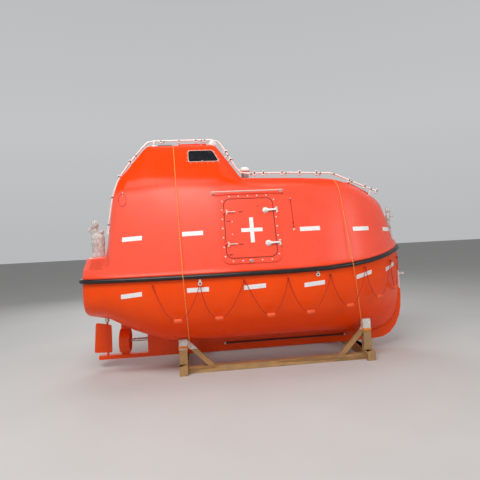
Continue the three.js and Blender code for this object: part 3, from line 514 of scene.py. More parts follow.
@dataclass(frozen=True)
class Film:
    """Thin packing film, milky and crumpled, with painted shade along its creases."""

    name: str
    milk: Colour
    shade: Colour
    alpha: float
    bubble: float = 0.0

    def build(self) -> bpy.types.Material:
        """The material."""
        uniform = {"Alpha": self.alpha, "Specular IOR Level": 0.6, "Coat Weight": 0.4, "Coat Roughness": 0.2}
        paint = Paint(self.name, uniform)
        crease = paint.cells(16, "DISTANCE_TO_EDGE", (1, 1, 0.7)).rise(0.0, 0.22)
        cloud = paint.noise(13, 5).rise(0.35, 0.75)
        colour = paint.mix(0.75 * cloud, self.milk, self.shade)
        # Painted shade: the colour darkens along the crease lines.
        paint.feed("Base Color", paint.mix(0.28 * (1 - crease), colour, rgb(150, 142, 136)))
        paint.feed("Roughness", 0.2 + 0.3 * cloud)
        layers = [(crease, 0.0022), (paint.noise(34, 4), 0.0016)]
        if self.bubble:
            layers.append((1 - paint.cells(self.bubble), 0.0014))
        paint.relief(*layers)
        return paint.material


@dataclass(frozen=True)
class Yarn:
    """Twisted rope fibres, dirty in the lay."""

    name: str
    light: Colour
    dark: Colour

    def build(self) -> bpy.types.Material:
        """The material."""
        paint = Paint(self.name, {"Specular IOR Level": 0.2, "Sheen Weight": 0.2})
        dirt = paint.noise(30, 5).rise(0.4, 0.75)
        fibre = paint.noise(900, 2)
        paint.feed("Base Color", paint.mix(0.7 * dirt, self.light, self.dark))
        paint.feed("Roughness", 0.72 + 0.15 * dirt)
        paint.relief((fibre, 0.0003))
        return paint.material


@dataclass(frozen=True)
class Reflector:
    """Retroreflective tape: small cells under a clear skin, grey along a few cells."""

    name: str

    def build(self) -> bpy.types.Material:
        """The material."""
        uniform = {"Specular IOR Level": 0.6, "Coat Weight": 0.5, "Coat Roughness": 0.15}
        paint = Paint(self.name, uniform)
        cells = paint.cells(210, "DISTANCE_TO_EDGE").rise(0.02, 0.12)
        worn = paint.noise(14, 5).rise(0.5, 0.8)
        colour = paint.mix(0.28 * (1 - cells), rgb(244, 242, 240), rgb(176, 178, 184))
        paint.feed("Base Color", paint.mix(0.35 * worn, colour, rgb(205, 190, 182)))
        paint.feed("Roughness", 0.3 + 0.2 * worn)
        paint.relief((cells, 0.0001), (paint.noise(30, 3), 0.0008))
        return paint.material


@dataclass(frozen=True)
class PlainFloor:
    """A pale studio floor."""

    name: str

    def build(self) -> bpy.types.Material:
        """The material."""
        paint = Paint(self.name, {"Specular IOR Level": 0.2})
        cloud = paint.noise(0.8, 3)
        paint.feed("Base Color", paint.mix(cloud, rgb(192, 191, 188), rgb(202, 201, 199)))
        paint.feed("Roughness", 0.75 + 0.1 * cloud)
        return paint.material


HINGE_STAINS = (
    Stain(-0.240, 2.252, 0.055, 0.013),
    Stain(-0.262, 1.795, 0.055, 0.013),
    Stain(-0.418, 2.123, 0.048, 0.014),
    Stain(-0.415, 1.659, 0.050, 0.014),
    Stain(0.013, 2.325, 0.022, 0.010),
)
# The salmon colour is a painted reflection of the bright surroundings on the sides of the canopy and door;
# the pale band of every Gelcoat below is painted reflection and light.
ORANGE = rgb(248, 61, 1)
REFLECTED_SALMON = rgb(250, 86, 62)

FINISHES = {
    "hull": Gelcoat("gelcoat_hull", rgb(248, 68, 0), rgb(250, 76, 1), 1.0, 1.5, 0.25, grime=0.25, gloss=0.05),
    "canopy": Gelcoat("gelcoat_canopy", ORANGE, REFLECTED_SALMON, 1.58, 2.66, 0.12, grime=0.3),
    "door": Gelcoat("gelcoat_door", ORANGE, REFLECTED_SALMON, 1.3, 2.66, 0.14, HINGE_STAINS, 0.3),
    "pad": Gelcoat("gelcoat_pad", rgb(208, 58, 30), rgb(222, 82, 58), 1.3, 2.66, 0.14, grime=0.6),
    "keel": Gelcoat("gelcoat_keel", rgb(240, 66, 6), rgb(244, 78, 14), 0.2, 1.6, 0.2, grime=0.8),
    "rubber": Rubber("fender_black", rgb(17, 14, 15), rgb(58, 46, 44), 0.3),
    "gasket": Rubber("gasket_black", rgb(18, 18, 19), rgb(40, 38, 38)),
    # The door seal's dark red is partly the rubber's own colour and partly painted shade of the groove round
    # the door.
    "seal_groove_shade": Rubber("seal_dark_red", rgb(104, 18, 8), rgb(64, 24, 16), 0.55),
    "steel": Metal("steel_bright", rgb(200, 202, 205), rgb(128, 112, 98), 0.2),
    "zinc": Metal("steel_zinc", rgb(178, 178, 176), rgb(120, 84, 60), 0.36, (1, 1, 1)),
    "bronze": Metal("bronze_cast", rgb(182, 132, 66), rgb(96, 92, 62), 0.3, (1, 1, 1)),
    "white": Coated("white_coat", rgb(232, 231, 226), rgb(198, 190, 178), rgb(118, 66, 36), 0.3, 0.5),
    "pipe": Coated("pipe_coat", rgb(246, 236, 230), rgb(226, 200, 188), rgb(126, 60, 40), 0.28, 0.8),
    "rail": Coated("rail_coat", rgb(222, 186, 176), rgb(196, 150, 138), rgb(120, 60, 44), 0.26, 0.6),
    "edging": Coated("edging_coat", rgb(220, 172, 158), rgb(186, 128, 112), rgb(110, 60, 46), 0.4, 0.4),
    "dark": Coated("dark_coat", rgb(44, 44, 48), rgb(78, 70, 66), rgb(112, 62, 36), 0.42),
    "engine": Coated("engine_coat", rgb(96, 112, 118), rgb(66, 74, 78), rgb(90, 60, 42), 0.4),
    "glass": Glazing("window_dark", rgb(22, 27, 32), rgb(96, 92, 88), 0.82),
    "lens": Glazing("lamp_lens", rgb(226, 230, 232), rgb(190, 186, 176), 0.55),
    "liner": Moulded("liner_cream", rgb(226, 222, 208), rgb(196, 190, 172), 0.45),
    "seat": Moulded("seat_vinyl", rgb(36, 38, 44), rgb(22, 23, 27), 0.5, 320, 0.0006),
    "foam": Moulded("float_foam", rgb(240, 92, 40), rgb(214, 66, 22), 0.55, 300, 0.0004),
    "beam_y": SawnTimber("timber_across", rgb(196, 156, 104), rgb(142, 100, 58), (0, 1, 0)),
    "skid_x": SawnTimber("timber_along", rgb(190, 150, 100), rgb(136, 96, 56), (1, 0, 0)),
    "wrap": Film("wrap_bubble", rgb(250, 248, 244), rgb(228, 226, 220), 1.0, 95),
    "sleeve": Film("wrap_sleeve", rgb(232, 230, 224), rgb(196, 190, 180), 0.93),
    "red_rope": Yarn("rope_red", rgb(190, 42, 20), rgb(112, 24, 14)),
    "tan_rope": Yarn("rope_tan", rgb(246, 148, 66), rgb(204, 116, 54)),
    "tape": Reflector("tape_silver"),
    "floor": PlainFloor("studio_floor"),
}
_made: dict[str, bpy.types.Material] = {}


def finish(name: str) -> bpy.types.Material:
    """The material of that name, built the first time it is asked for."""
    if name not in _made:
        _made[name] = FINISHES[name].build()
    return _made[name]


# Meshes


def publish(
    obj: bpy.types.Object, body: str, look: str, replaces: Iterable[str] = ()
) -> bpy.types.Object:
    """Gives a piece its finish and body.

    Args:
        obj: the piece, in place.
        body: the body that it rides on.
        look: its finish.
        replaces: the nodes of the part that it stands for.

    Returns:
        The piece.
    """
    obj.data.materials.clear()
    obj.data.materials.append(finish(look))
    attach(obj, body)
    nodes = list(replaces)
    if nodes:
        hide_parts(*nodes)
    log.info("%s rides on %s in %s", obj.name, body, look)
    return obj


def settle(obj: bpy.types.Object) -> bpy.types.Object:
    """Turns an object's modifiers into plain mesh."""
    graph = bpy.context.evaluated_depsgraph_get()
    mesh = bpy.data.meshes.new_from_object(obj.evaluated_get(graph), depsgraph=graph)
    obj.modifiers.clear()
    obj.data = mesh
    return obj


def link_mesh(name: str, mesh: bpy.types.Mesh, angle: float = 35) -> bpy.types.Object:
    """An object of a mesh, smooth except at edges sharper than angle degrees."""
    obj = bpy.data.objects.new(name, mesh)
    bpy.context.scene.collection.objects.link(obj)
    mesh.shade_smooth()
    mesh.set_sharp_from_angle(angle=math.radians(angle))
    return obj


class Shape:
    """Vertices and faces gathered into one mesh."""

    def __init__(self) -> None:
        """Starts empty."""
        self.points: list[Point] = []
        self.faces: list[tuple[int, ...]] = []

    def add(self, points: Iterable[Sequence[float]], faces: Iterable[Sequence[int]]) -> "Shape":
        """Adds a closed body."""
        start = len(self.points)
        self.points.extend(tuple(map(float, p)) for p in points)
        self.faces.extend(tuple(start + i for i in face) for face in faces)
        return self

    def skin(self, rings: np.ndarray, closed: bool = False) -> "Shape":
        """Adds a skin through rings of points.

        Args:
            rings: an array of rings, points and coordinates.
            closed: whether the last ring joins the first, or else both ends are capped.

        Returns:
            The shape.
        """
        count, sides = rings.shape[:2]
        faces = []
        for r in range(count if closed else count - 1):
            n = (r + 1) % count
            for i in range(sides):
                j = (i + 1) % sides
                faces.append((r * sides + i, r * sides + j, n * sides + j, n * sides + i))
        if not closed:
            faces.append(tuple(reversed(range(sides))))
            faces.append(tuple((count - 1) * sides + i for i in range(sides)))
        return self.add(rings.reshape(-1, 3), faces)

    def tube(self, path: np.ndarray, radii: Sequence[float] | float, sides: int = 10) -> "Shape":
        """Adds a round bar along a path, with one radius or one for each point."""
        size = np.broadcast_to(np.asarray(radii, float), (len(path),))
        _, across, up = frames_along(path)
        turn = np.linspace(0, 2 * math.pi, sides, endpoint=False)
        ring = np.cos(turn)[None, :, None] * across[:, None] + np.sin(turn)[None, :, None] * up[:, None]
        return self.skin(path[:, None] + size[:, None, None] * ring)

    def rod(self, start: Sequence[float], end: Sequence[float], radius: float, sides: int = 12) -> "Shape":
        """Adds a straight bar with softened ends."""
        a, b = np.asarray(start, float), np.asarray(end, float)
        way = (b - a) / np.linalg.norm(b - a)
        soft = min(0.3 * radius, 0.2 * float(np.linalg.norm(b - a)))
        path = np.array([a, a + soft * way, b - soft * way, b])
        return self.tube(path, [radius - soft, radius, radius, radius - soft], sides)

    def block(self, panel: "Panel", low: Point, high: Point, soft: float = 0.002) -> "Shape":
        """Adds a block with softened edges in a panel's frame."""
        (u0, v0, w0), (u1, v1, w1) = low, high
        rings = []
        for w, inset in ((w0, soft), (w0 + soft, 0), (w1 - soft, 0), (w1, soft)):
            rings.append([panel.point(u, v, w) for u, v in round_corners(u0, u1, v0, v1, 2 * soft, inset)])
        return self.skin(np.array(rings, float))

    def turned(self, foot: Sequence[float], axis: Sequence[float], profile: Sequence[Sequence[float]],
               sides: int = 20) -> "Shape":
        """Adds a turned body of (radius, height) steps on an axis."""
        origin, way = np.asarray(foot, float), np.asarray(axis, float)
        way = way / np.linalg.norm(way)
        path = np.array([origin + h * way for _, h in profile])
        helper = np.array([1.0, 0, 0]) if abs(way[0]) < 0.9 else np.array([0, 1.0, 0])
        across = np.cross(way, helper)
        across /= np.linalg.norm(across)
        up = np.cross(way, across)
        turn = np.linspace(0, 2 * math.pi, sides, endpoint=False)
        ring = np.cos(turn)[:, None] * across + np.sin(turn)[:, None] * up
        radii = np.array([r for r, _ in profile])
        return self.skin(path[:, None] + radii[:, None, None] * ring[None])

    def border(self, panel: "Panel", section: Iterable[tuple[Sequence, float]]) -> "Shape":
        """Adds a closed border whose section runs through outlines, each at its height on a panel."""
        rings = np.array([panel.outline(points, w) for points, w in section])
        return self.skin(rings.transpose(1, 0, 2), closed=True)

    def build(self, name: str, angle: float = 35) -> bpy.types.Object:
        """The shape as an object whose faces point outwards."""
        mesh = bpy.data.meshes.new(name)
        mesh.from_pydata(self.points, [], self.faces)
        bm = bmesh.new()
        bm.from_mesh(mesh)
        bmesh.ops.remove_doubles(bm, verts=bm.verts, dist=1e-6)
        bmesh.ops.recalc_face_normals(bm, faces=bm.faces)
        bm.to_mesh(mesh)
        bm.free()
        return link_mesh(name, mesh, angle)


def disc(radius: float, low: float, high: float) -> list[tuple[float, float]]:
    """The profile of a plain turned disc between two heights."""
    return [(0.0, low), (radius, low), (radius, high), (0.0, high)]


def circle(centre: Sequence[float], across: Point, up: Point, count: int) -> np.ndarray:
    """A closed ring of count points round a centre, with two half axes."""
    turn = np.linspace(0, 2 * math.pi, count)[:, None]
    return np.asarray(centre) + np.cos(turn) * np.asarray(across) + np.sin(turn) * np.asarray(up)


def blend(first: Sequence, second: Sequence, share: float) -> list[tuple[float, float]]:
    """The outline that lies a share of the way from the first to the second."""
    pairs = zip(first, second, strict=True)
    return [((1 - share) * a + share * c, (1 - share) * b + share * d) for (a, b), (c, d) in pairs]


def frames_along(path: np.ndarray) -> tuple[np.ndarray, np.ndarray, np.ndarray]:
    """Directions carried along a path without twisting.

    Args:
        path: its points.

    Returns:
        The unit vectors along it, across it and square to both, at each point.
    """
    way = np.gradient(path, axis=0)
    way /= np.linalg.norm(way, axis=1)[:, None]
    helper = np.array([0, 0, 1.0]) if abs(way[0][2]) < 0.9 else np.array([1.0, 0, 0])
    across = np.zeros_like(way)
    last = np.cross(way[0], helper)
    for i, t in enumerate(way):
        last = last - np.dot(last, t) * t
        last = last / np.linalg.norm(last)
        across[i] = last
    return way, across, np.cross(way, across)


def round_corners(
    u0: float, u1: float, v0: float, v1: float, radius: float, inset: float = 0, steps: int = 4
) -> list[tuple[float, float]]:
    """A rectangle with round corners, as points once round it."""
    u0, u1, v0, v1 = u0 + inset, u1 - inset, v0 + inset, v1 - inset
    r = max(radius - inset, 1e-4)
    out = []
    centres = ((u1 - r, v0 + r), (u1 - r, v1 - r), (u0 + r, v1 - r), (u0 + r, v0 + r))
    for (cu, cv), start in zip(centres, (-90, 0, 90, 180), strict=True):
        for k in range(steps + 1):
            a = math.radians(start + 90 * k / steps)
            out.append((cu + r * math.cos(a), cv + r * math.sin(a)))
    return out


def round_box(
    u: float, v: float, radius: float, inset: float = 0, steps: int = 4
) -> list[tuple[float, float]]:
    """A rectangle round the middle, of half sizes u and v, with round corners."""
    return round_corners(-u, u, -v, v, radius, inset, steps)


def round_polygon(corners: Sequence[Point], steps: int = 4) -> list[tuple[float, float]]:
    """A polygon of (u, v, radius) corners with each corner rounded."""
    out = []
    for i, (u, v, radius) in enumerate(corners):
        here = Vector((u, v))
        last, following = Vector(corners[i - 1][:2]), Vector(corners[(i + 1) % len(corners)][:2])
        enter = here + (last - here).normalized() * radius
        leave = here + (following - here).normalized() * radius
        for k in range(steps + 1):
            t = k / steps
            p = (1 - t) ** 2 * enter + 2 * t * (1 - t) * here + t * t * leave
            out.append((p.x, p.y))
    return out


def evenly(points: np.ndarray, step: float) -> np.ndarray:
    """Points at even steps along a path."""
    lengths = np.concatenate([[0], np.cumsum(np.linalg.norm(np.diff(points, axis=0), axis=1))])
    count = max(2, int(round(lengths[-1] / step)) + 1)
    at = np.linspace(0, lengths[-1], count)
    return np.stack([np.interp(at, lengths, points[:, k]) for k in range(3)], axis=1)


def eased(points: np.ndarray, times: int) -> np.ndarray:
    """A path with its corners rounded by averaging, its ends kept."""
    out = points.copy()
    for _ in range(times):
        out[1:-1] = 0.25 * out[:-2] + 0.5 * out[1:-1] + 0.25 * out[2:]
    return out


@dataclass(frozen=True)
class Panel:
    """A flat panel's own frame: u along it, v up it and w straight out of it."""

    origin: Point
    u: Point
    w: Point

    def matrix(self) -> Matrix:
        """The panel's frame as a matrix."""
        u, w = Vector(self.u).normalized(), Vector(self.w).normalized()
        v = w.cross(u)
        if v.z < -1e-9:
            v = -v
        return Matrix.Translation(self.origin) @ Matrix((u, v, w)).transposed().to_4x4()

    def point(self, u: float, v: float, w: float) -> tuple[float, ...]:
        """A point of the panel in the boat's frame."""
        return tuple(self.matrix() @ Vector((u, v, w)))

    def outline(self, points: Iterable[tuple[float, float]], w: float) -> np.ndarray:
        """An outline drawn on the panel at height w."""
        matrix = self.matrix()
        return np.array([tuple(matrix @ Vector((u, v, w))) for u, v in points])

    def ring(self, centre: Point, radius: float, count: int) -> np.ndarray:
        """A closed circle of count points on the panel."""
        u, v, w = centre
        turn = np.linspace(0, 2 * math.pi, count)
        return self.outline([(u + radius * math.cos(a), v + radius * math.sin(a)) for a in turn], w)

    def out(self) -> Point:
        """The way straight out of the panel."""
        return tuple(Vector(self.w).normalized())


def rope(name: str, path: np.ndarray, radius: float, pitch: float) -> bpy.types.Object:
    """A rope of three twisted strands.

    Args:
        name: the piece's name.
        path: the middle of the rope, at even steps.
        radius: half its thickness.
        pitch: the length of one full twist.

    Returns:
        The rope's object.
    """
    _, across, up = frames_along(path)
    run = np.concatenate([[0], np.cumsum(np.linalg.norm(np.diff(path, axis=0), axis=1))])
    turn = np.linspace(0, 2 * math.pi, 12, endpoint=False)
    strand = np.abs(np.cos(1.5 * (turn[None] + 2 * math.pi * run[:, None] / pitch)))
    size = radius * (0.74 + 0.26 * strand)
    ring = np.cos(turn)[None, :, None] * across[:, None] + np.sin(turn)[None, :, None] * up[:, None]
    return Shape().skin(path[:, None] + size[:, :, None] * ring).build(name, 80)


def refined(node: str, name: str, bevel: float = 0, angle: float = 30, flat: float = 0.4) -> bpy.types.Object:
    """A copy of a node of the part with joined faces, soft edges and smooth curves.

    Args:
        node: the node.
        name: the new piece's name.
        bevel: how much of each sharp edge is rounded off.
        angle: edges sharper than this many degrees stay sharp.
        flat: faces within this many degrees of each other become one.

    Returns:
        The copy.
    """
    mesh = frame["nodes"][node].data.copy()
    mesh.name = name
    bm = bmesh.new()
    bm.from_mesh(mesh)
    bmesh.ops.remove_doubles(bm, verts=bm.verts, dist=1e-5)
    bmesh.ops.dissolve_limit(
        bm, angle_limit=math.radians(flat), verts=bm.verts, edges=bm.edges, use_dissolve_boundaries=False
    )
    bm.to_mesh(mesh)
    bm.free()
    obj = link_mesh(name, mesh, angle)
    if bevel:
        edges = obj.modifiers.new("edges", "BEVEL")
        edges.width = bevel
        edges.segments = 2
        edges.limit_method = "ANGLE"
        edges.angle_limit = math.radians(angle + 6)
        edges.harden_normals = True
    weights = obj.modifiers.new("weights", "WEIGHTED_NORMAL")
    weights.keep_sharp = True
    return settle(obj)


def dress(
    node: str, name: str, look: str, bevel: float = 0, angle: float = 30, body: str = "boat"
) -> bpy.types.Object:
    """Puts a refined copy of a node in the node's place, in a finish.

    Args:
        node: the node.
        name: the new piece's name.
        look: its finish.
        bevel: how much of each sharp edge is rounded off.
        angle: edges sharper than this many degrees stay sharp.
        body: the body that it rides on.

    Returns:
        The piece.
    """
    return publish(refined(node, name, bevel, angle), body, look, [node])


class Skin:
    """The outer surface of some nodes, for laying things on it."""

    def __init__(self, *nodes: str) -> None:
        """Joins the nodes' faces into one tree."""
        points, faces = [], []
        for node in nodes:
            mesh = frame["nodes"][node].data
            start = len(points)
            points.extend(v.co.copy() for v in mesh.vertices)
            faces.extend(tuple(start + i for i in p.vertices) for p in mesh.polygons)
        self.tree = BVHTree.FromPolygons(points, faces)

    def hit(self, start: Sequence[float], way: Sequence[float]) -> tuple[Vector, Vector]:
        """Where a ray from start first meets the skin, and the skin's outward normal there."""
        place, normal, _, _ = self.tree.ray_cast(Vector(start), Vector(way))
        if place is None:
            raise ValueError(f"no skin from {tuple(start)} along {tuple(way)}")
        return place, (normal if normal.dot(Vector(way)) < 0 else -normal)

    def side(self, x: float, z: float, side: Side) -> tuple[Vector, Vector]:
        """The skin seen from straight beside the boat."""
        return self.hit((x, side.value * 3, z), (0, -side.value, 0))

    def above(self, x: float, y: float) -> tuple[Vector, Vector]:
        """The skin seen from straight above."""
        return self.hit((x, y, 5), (0, 0, -1))

    def patch(
        self, shape: Shape, corners: Sequence[tuple[float, float]], side: Side, thick: float, steps: int = 8
    ) -> Shape:
        """Lays a thin four-cornered patch on the side of the boat.

        Args:
            shape: where it goes.
            corners: (x, z) of the lower aft, lower fore, upper fore and upper aft corners.
            side: which side of the boat.
            thick: its thickness.
            steps: how finely it follows the surface.

        Returns:
            The shape.
        """
        rows = []
        for j in range(3):
            t = j / 2
            row = []
            for i in range(steps + 1):
                s = i / steps
                x = (1 - t) * ((1 - s) * corners[0][0] + s * corners[1][0])
                x += t * ((1 - s) * corners[3][0] + s * corners[2][0])
                z = (1 - t) * ((1 - s) * corners[0][1] + s * corners[1][1])
                z += t * ((1 - s) * corners[3][1] + s * corners[2][1])
                row.append(self.side(x, z, side))
            rows.append(row)
        return lay_sheet(shape, rows, thick)


def lay_sheet(shape: Shape, rows: Sequence[Sequence[tuple[Vector, Vector]]], thick: float) -> Shape:
    """Adds a thin closed sheet over a grid of surface points with their normals."""
    across, along = len(rows), len(rows[0])
    under = [p - 0.0004 * n for row in rows for p, n in row]
    over = [p + thick * n for row in rows for p, n in row]
    total = across * along
    faces = []
    for j in range(across - 1):
        for i in range(along - 1):
            a, b, c, d = j * along + i, j * along + i + 1, (j + 1) * along + i + 1, (j + 1) * along + i
            faces.append((d, c, b, a))
            faces.append((total + a, total + b, total + c, total + d))
    rim = list(range(along))
    rim += [j * along + along - 1 for j in range(1, across)]
    rim += [(across - 1) * along + i for i in range(along - 2, -1, -1)]
    rim += [j * along for j in range(across - 2, 0, -1)]
    for k, a in enumerate(rim):
        b = rim[(k + 1) % len(rim)]
        faces.append((a, b, total + b, total + a))
    return shape.add([*under, *over], faces)


# Geometry nodes


class Grower:
    """A geometry node tree with named inputs, and the way to grow a mesh with it."""

    def __init__(self, name: str, sizes: dict[str, float]) -> None:
        """Starts the tree.

        Args:
            name: its name.
            sizes: the inputs and their usual values.
        """
        self.tree = bpy.data.node_groups.new(name, "GeometryNodeTree")
        self.ids: dict[str, str] = {}
        face = self.tree.interface
        face.new_socket("Geometry", in_out="INPUT", socket_type="NodeSocketGeometry")
        for size, value in sizes.items():
            socket = face.new_socket(size, in_out="INPUT", socket_type="NodeSocketFloat")
            socket.default_value = value
            self.ids[size] = socket.identifier
        face.new_socket("Geometry", in_out="OUTPUT", socket_type="NodeSocketGeometry")
        self.entry = self.tree.nodes.new("NodeGroupInput")
        self.exit = self.tree.nodes.new("NodeGroupOutput")

    def node(self, kind: str, settings: dict, values: dict) -> bpy.types.Node:
        """Adds a node.

        Args:
            kind: its type.
            settings: its options.
            values: numbers, vectors or output sockets by input.

        Returns:
            The node.
        """
        made = self.tree.nodes.new(kind)
        for name, value in settings.items():
            setattr(made, name, value)
        for name, value in values.items():
            if isinstance(value, bpy.types.NodeSocket):
                self.tree.links.new(value, made.inputs[name])
            else:
                made.inputs[name].default_value = value
        return made

    def join(self, *parts: bpy.types.Node) -> bpy.types.Node:
        """Joins the meshes of several nodes."""
        made = self.tree.nodes.new("GeometryNodeJoinGeometry")
        for part in parts:
            self.tree.links.new(part.outputs[0], made.inputs[0])
        return made

    def close(self, last: bpy.types.NodeSocket, look: str) -> "Grower":
        """Ends the tree with real meshes in one finish."""
        real = self.node("GeometryNodeRealizeInstances", {}, {0: last})
        dressed = self.node("GeometryNodeSetMaterial", {}, {0: real.outputs[0], "Material": finish(look)})
        self.tree.links.new(dressed.outputs[0], self.exit.inputs[0])
        return self

    def grow(self, host: bpy.types.Object, name: str, sizes: dict[str, float]) -> bpy.types.Object:
        """Runs the tree on a host object and keeps only the plain result.

        Args:
            host: what the tree works on, which is used up.
            name: the piece's name.
            sizes: values for the named inputs.

        Returns:
            The grown piece.
        """
        modifier = host.modifiers.new("grow", "NODES")
        modifier.node_group = self.tree
        for size, value in sizes.items():
            modifier[self.ids[size]] = float(value)
        settle(host)
        host.name = name
        host.data.name = name
        host.data.shade_smooth()
        host.data.set_sharp_from_angle(angle=math.radians(38))
        return host


def points_host(points: np.ndarray, out: np.ndarray, loops: Sequence[Sequence[int]] = ()) -> bpy.types.Object:
    """An object of bare points, with the way out of the surface kept at each.

    Args:
        points: where they are.
        out: a direction for each.
        loops: closed runs of point numbers to be joined by edges.

    Returns:
        The host object.
    """
    edges = [(loop[i], loop[(i + 1) % len(loop)]) for loop in loops for i in range(len(loop))]
    mesh = bpy.data.meshes.new("host")
    mesh.from_pydata([tuple(map(float, p)) for p in points], edges, [])
    kept = mesh.attributes.new("out", "FLOAT_VECTOR", "POINT")
    kept.data.foreach_set("vector", np.asarray(out, np.float32).ravel())
    obj = bpy.data.objects.new("host", mesh)
    bpy.context.scene.collection.objects.link(obj)
    return obj


def turned_out(grower: Grower) -> bpy.types.NodeSocket:
    """The turn that stands an instance up along the stored way out."""
    out = grower.node("GeometryNodeInputNamedAttribute", {"data_type": "FLOAT_VECTOR"}, {"Name": "out"})
    made = grower.node("FunctionNodeAlignRotationToVector", {"axis": "Z"}, {"Vector": out.outputs[0]})
    return made.outputs[0]


def domed_head(grower: Grower) -> bpy.types.Node:
    """A washer with a domed head on it, of the inputs Radius and Height."""
    radius, height = grower.entry.outputs["Radius"], grower.entry.outputs["Height"]
    wide = grower.node("ShaderNodeMath", {"operation": "MULTIPLY"}, {0: radius, 1: 1.5})
    thin = grower.node("ShaderNodeMath", {"operation": "MULTIPLY"}, {0: height, 1: 0.5})
    washer = grower.node(
        "GeometryNodeMeshCylinder", {}, {"Vertices": 12, "Radius": wide.outputs[0], "Depth": thin.outputs[0]}
    )
    ball = grower.node("GeometryNodeMeshUVSphere", {}, {"Segments": 10, "Rings": 6, "Radius": radius})
    low = grower.node("ShaderNodeMath", {"operation": "DIVIDE"}, {0: height, 1: radius})
    flat = grower.node("ShaderNodeCombineXYZ", {}, {0: 1.0, 1: 1.0, 2: low.outputs[0]})
    head = grower.node("GeometryNodeTransform", {}, {"Geometry": ball.outputs[0], "Scale": flat.outputs[0]})
    return grower.join(washer, head)


def place_each(
    grower: Grower, points: bpy.types.NodeSocket, part: bpy.types.Node, look: str
) -> Grower:
    """Ends a tree with one part on each point, turned the way that is kept there."""
    values = {"Points": points, "Instance": part.outputs[0], "Rotation": turned_out(grower)}
    placed = grower.node("GeometryNodeInstanceOnPoints", {}, values)
    return grower.close(placed.outputs[0], look)


def bolt_row(look: str) -> Grower:
    """Domed bolts at an even spacing round closed outlines."""
    grower = Grower(f"bolt_row_{look}", {"Spacing": 0.12, "Radius": 0.006, "Height": 0.004})
    curve = grower.node("GeometryNodeMeshToCurve", {}, {0: grower.entry.outputs["Geometry"]})
    even = grower.node(
        "GeometryNodeResampleCurve",
        {"mode": "LENGTH"},
        {"Curve": curve.outputs[0], "Length": grower.entry.outputs["Spacing"]},
    )
    return place_each(grower, even.outputs[0], domed_head(grower), look)


def studs(look: str) -> Grower:
    """A domed stud on each given point."""
    grower = Grower(f"studs_{look}", {"Radius": 0.004, "Height": 0.002})
    return place_each(grower, grower.entry.outputs["Geometry"], domed_head(grower), look)


def collars(look: str) -> Grower:
    """A clamp collar with a bolt flange on each given point of a pipe."""
    grower = Grower(f"collars_{look}", {"Radius": 0.018, "Width": 0.026})
    radius, width = grower.entry.outputs["Radius"], grower.entry.outputs["Width"]
    ring = grower.node("GeometryNodeMeshCylinder", {}, {"Vertices": 20, "Radius": radius, "Depth": width})
    wide = grower.node("ShaderNodeMath", {"operation": "MULTIPLY"}, {0: radius, 1: 1.22})
    thin = grower.node("ShaderNodeMath", {"operation": "MULTIPLY"}, {0: width, 1: 0.3})
    rib = grower.node(
        "GeometryNodeMeshCylinder", {}, {"Vertices": 20, "Radius": wide.outputs[0], "Depth": thin.outputs[0]}
    )
    return place_each(grower, grower.entry.outputs["Geometry"], grower.join(ring, rib), look)


def bubbles(look: str) -> Grower:
    """Small air bubbles scattered over a wrapped surface, each at least a spacing from the next."""
    grower = Grower(f"bubbles_{look}", {"Spacing": 0.012, "Radius": 0.0045, "Density": 9000})
    entry = grower.entry.outputs["Geometry"]
    spread = grower.node(
        "GeometryNodeDistributePointsOnFaces",
        {"distribute_method": "POISSON"},
        {
            "Mesh": entry,
            "Distance Min": grower.entry.outputs["Spacing"],
            "Density Max": grower.entry.outputs["Density"],
            "Seed": 7,
        },
    )
    radius = grower.entry.outputs["Radius"]
    ball = grower.node("GeometryNodeMeshIcoSphere", {}, {"Subdivisions": 2, "Radius": radius})
    low = grower.node("GeometryNodeTransform", {}, {"Geometry": ball.outputs[0], "Scale": (1, 1, 0.55)})
    values = {"Points": spread.outputs[0], "Instance": low.outputs[0], "Rotation": spread.outputs["Rotation"]}
    placed = grower.node("GeometryNodeInstanceOnPoints", {}, values)
    both = grower.join(placed)
    grower.tree.links.new(entry, both.inputs[0])
    return grower.close(both.outputs[0], look)


def studded(
    name: str,
    body: str,
    look: str,
    points: Sequence,
    outs: Sequence,
    size: tuple[float, float],
) -> None:
    """Makes domed studs on given points.

    Args:
        name: the piece's name.
        body: the body that it rides on.
        look: its finish.
        points: where the studs are.
        outs: the way out at each.
        size: their radius and height.
    """
    host = points_host(np.array(points), np.array(outs))
    sizes = dict(zip(("Radius", "Height"), size, strict=True))
    publish(studs(look).grow(host, name, sizes), body, look)


def bolted(
    name: str,
    look: str,
    panel: Panel,
    outline: Sequence,
    w: float,
    size: tuple[float, float, float],
) -> None:
    """Makes domed bolts round an outline on a panel of the boat.

    Args:
        name: the piece's name.
        look: its finish.
        panel: the panel.
        outline: the outline on it.
        w: the outline's height over the panel.
        size: the spacing, radius and height of the bolts.
    """
    points = panel.outline(outline, w)
    host = points_host(points, np.tile(panel.out(), (len(points), 1)), [range(len(points))])
    sizes = dict(zip(("Spacing", "Radius", "Height"), size, strict=True))
    publish(bolt_row(look).grow(host, name, sizes), "boat", look)


# The boat's assemblies


def side_panel(side: Side) -> Panel:
    """The flat of the canopy's side that the door lies on."""
    return Panel((-0.120, side.value * 0.93294866, 2.025), (1, 0, 0), (0, side.value, 0.2547))


def tower_panel(side: Side) -> Panel:
    """The flat of the tower's side round its window."""
    return Panel((-0.740, side.value * 0.51182, 3.140), (1, 0, 0), (0, side.value, 0.61596))


FRONT_PANEL = Panel((-0.3325, 0, 3.085), (0, 1, 0), (0.438, 0, 0.295))
BACK_PANEL = Panel((-1.738, 0, 3.148), (0, 1, 0), (-0.308, 0, 0.226))


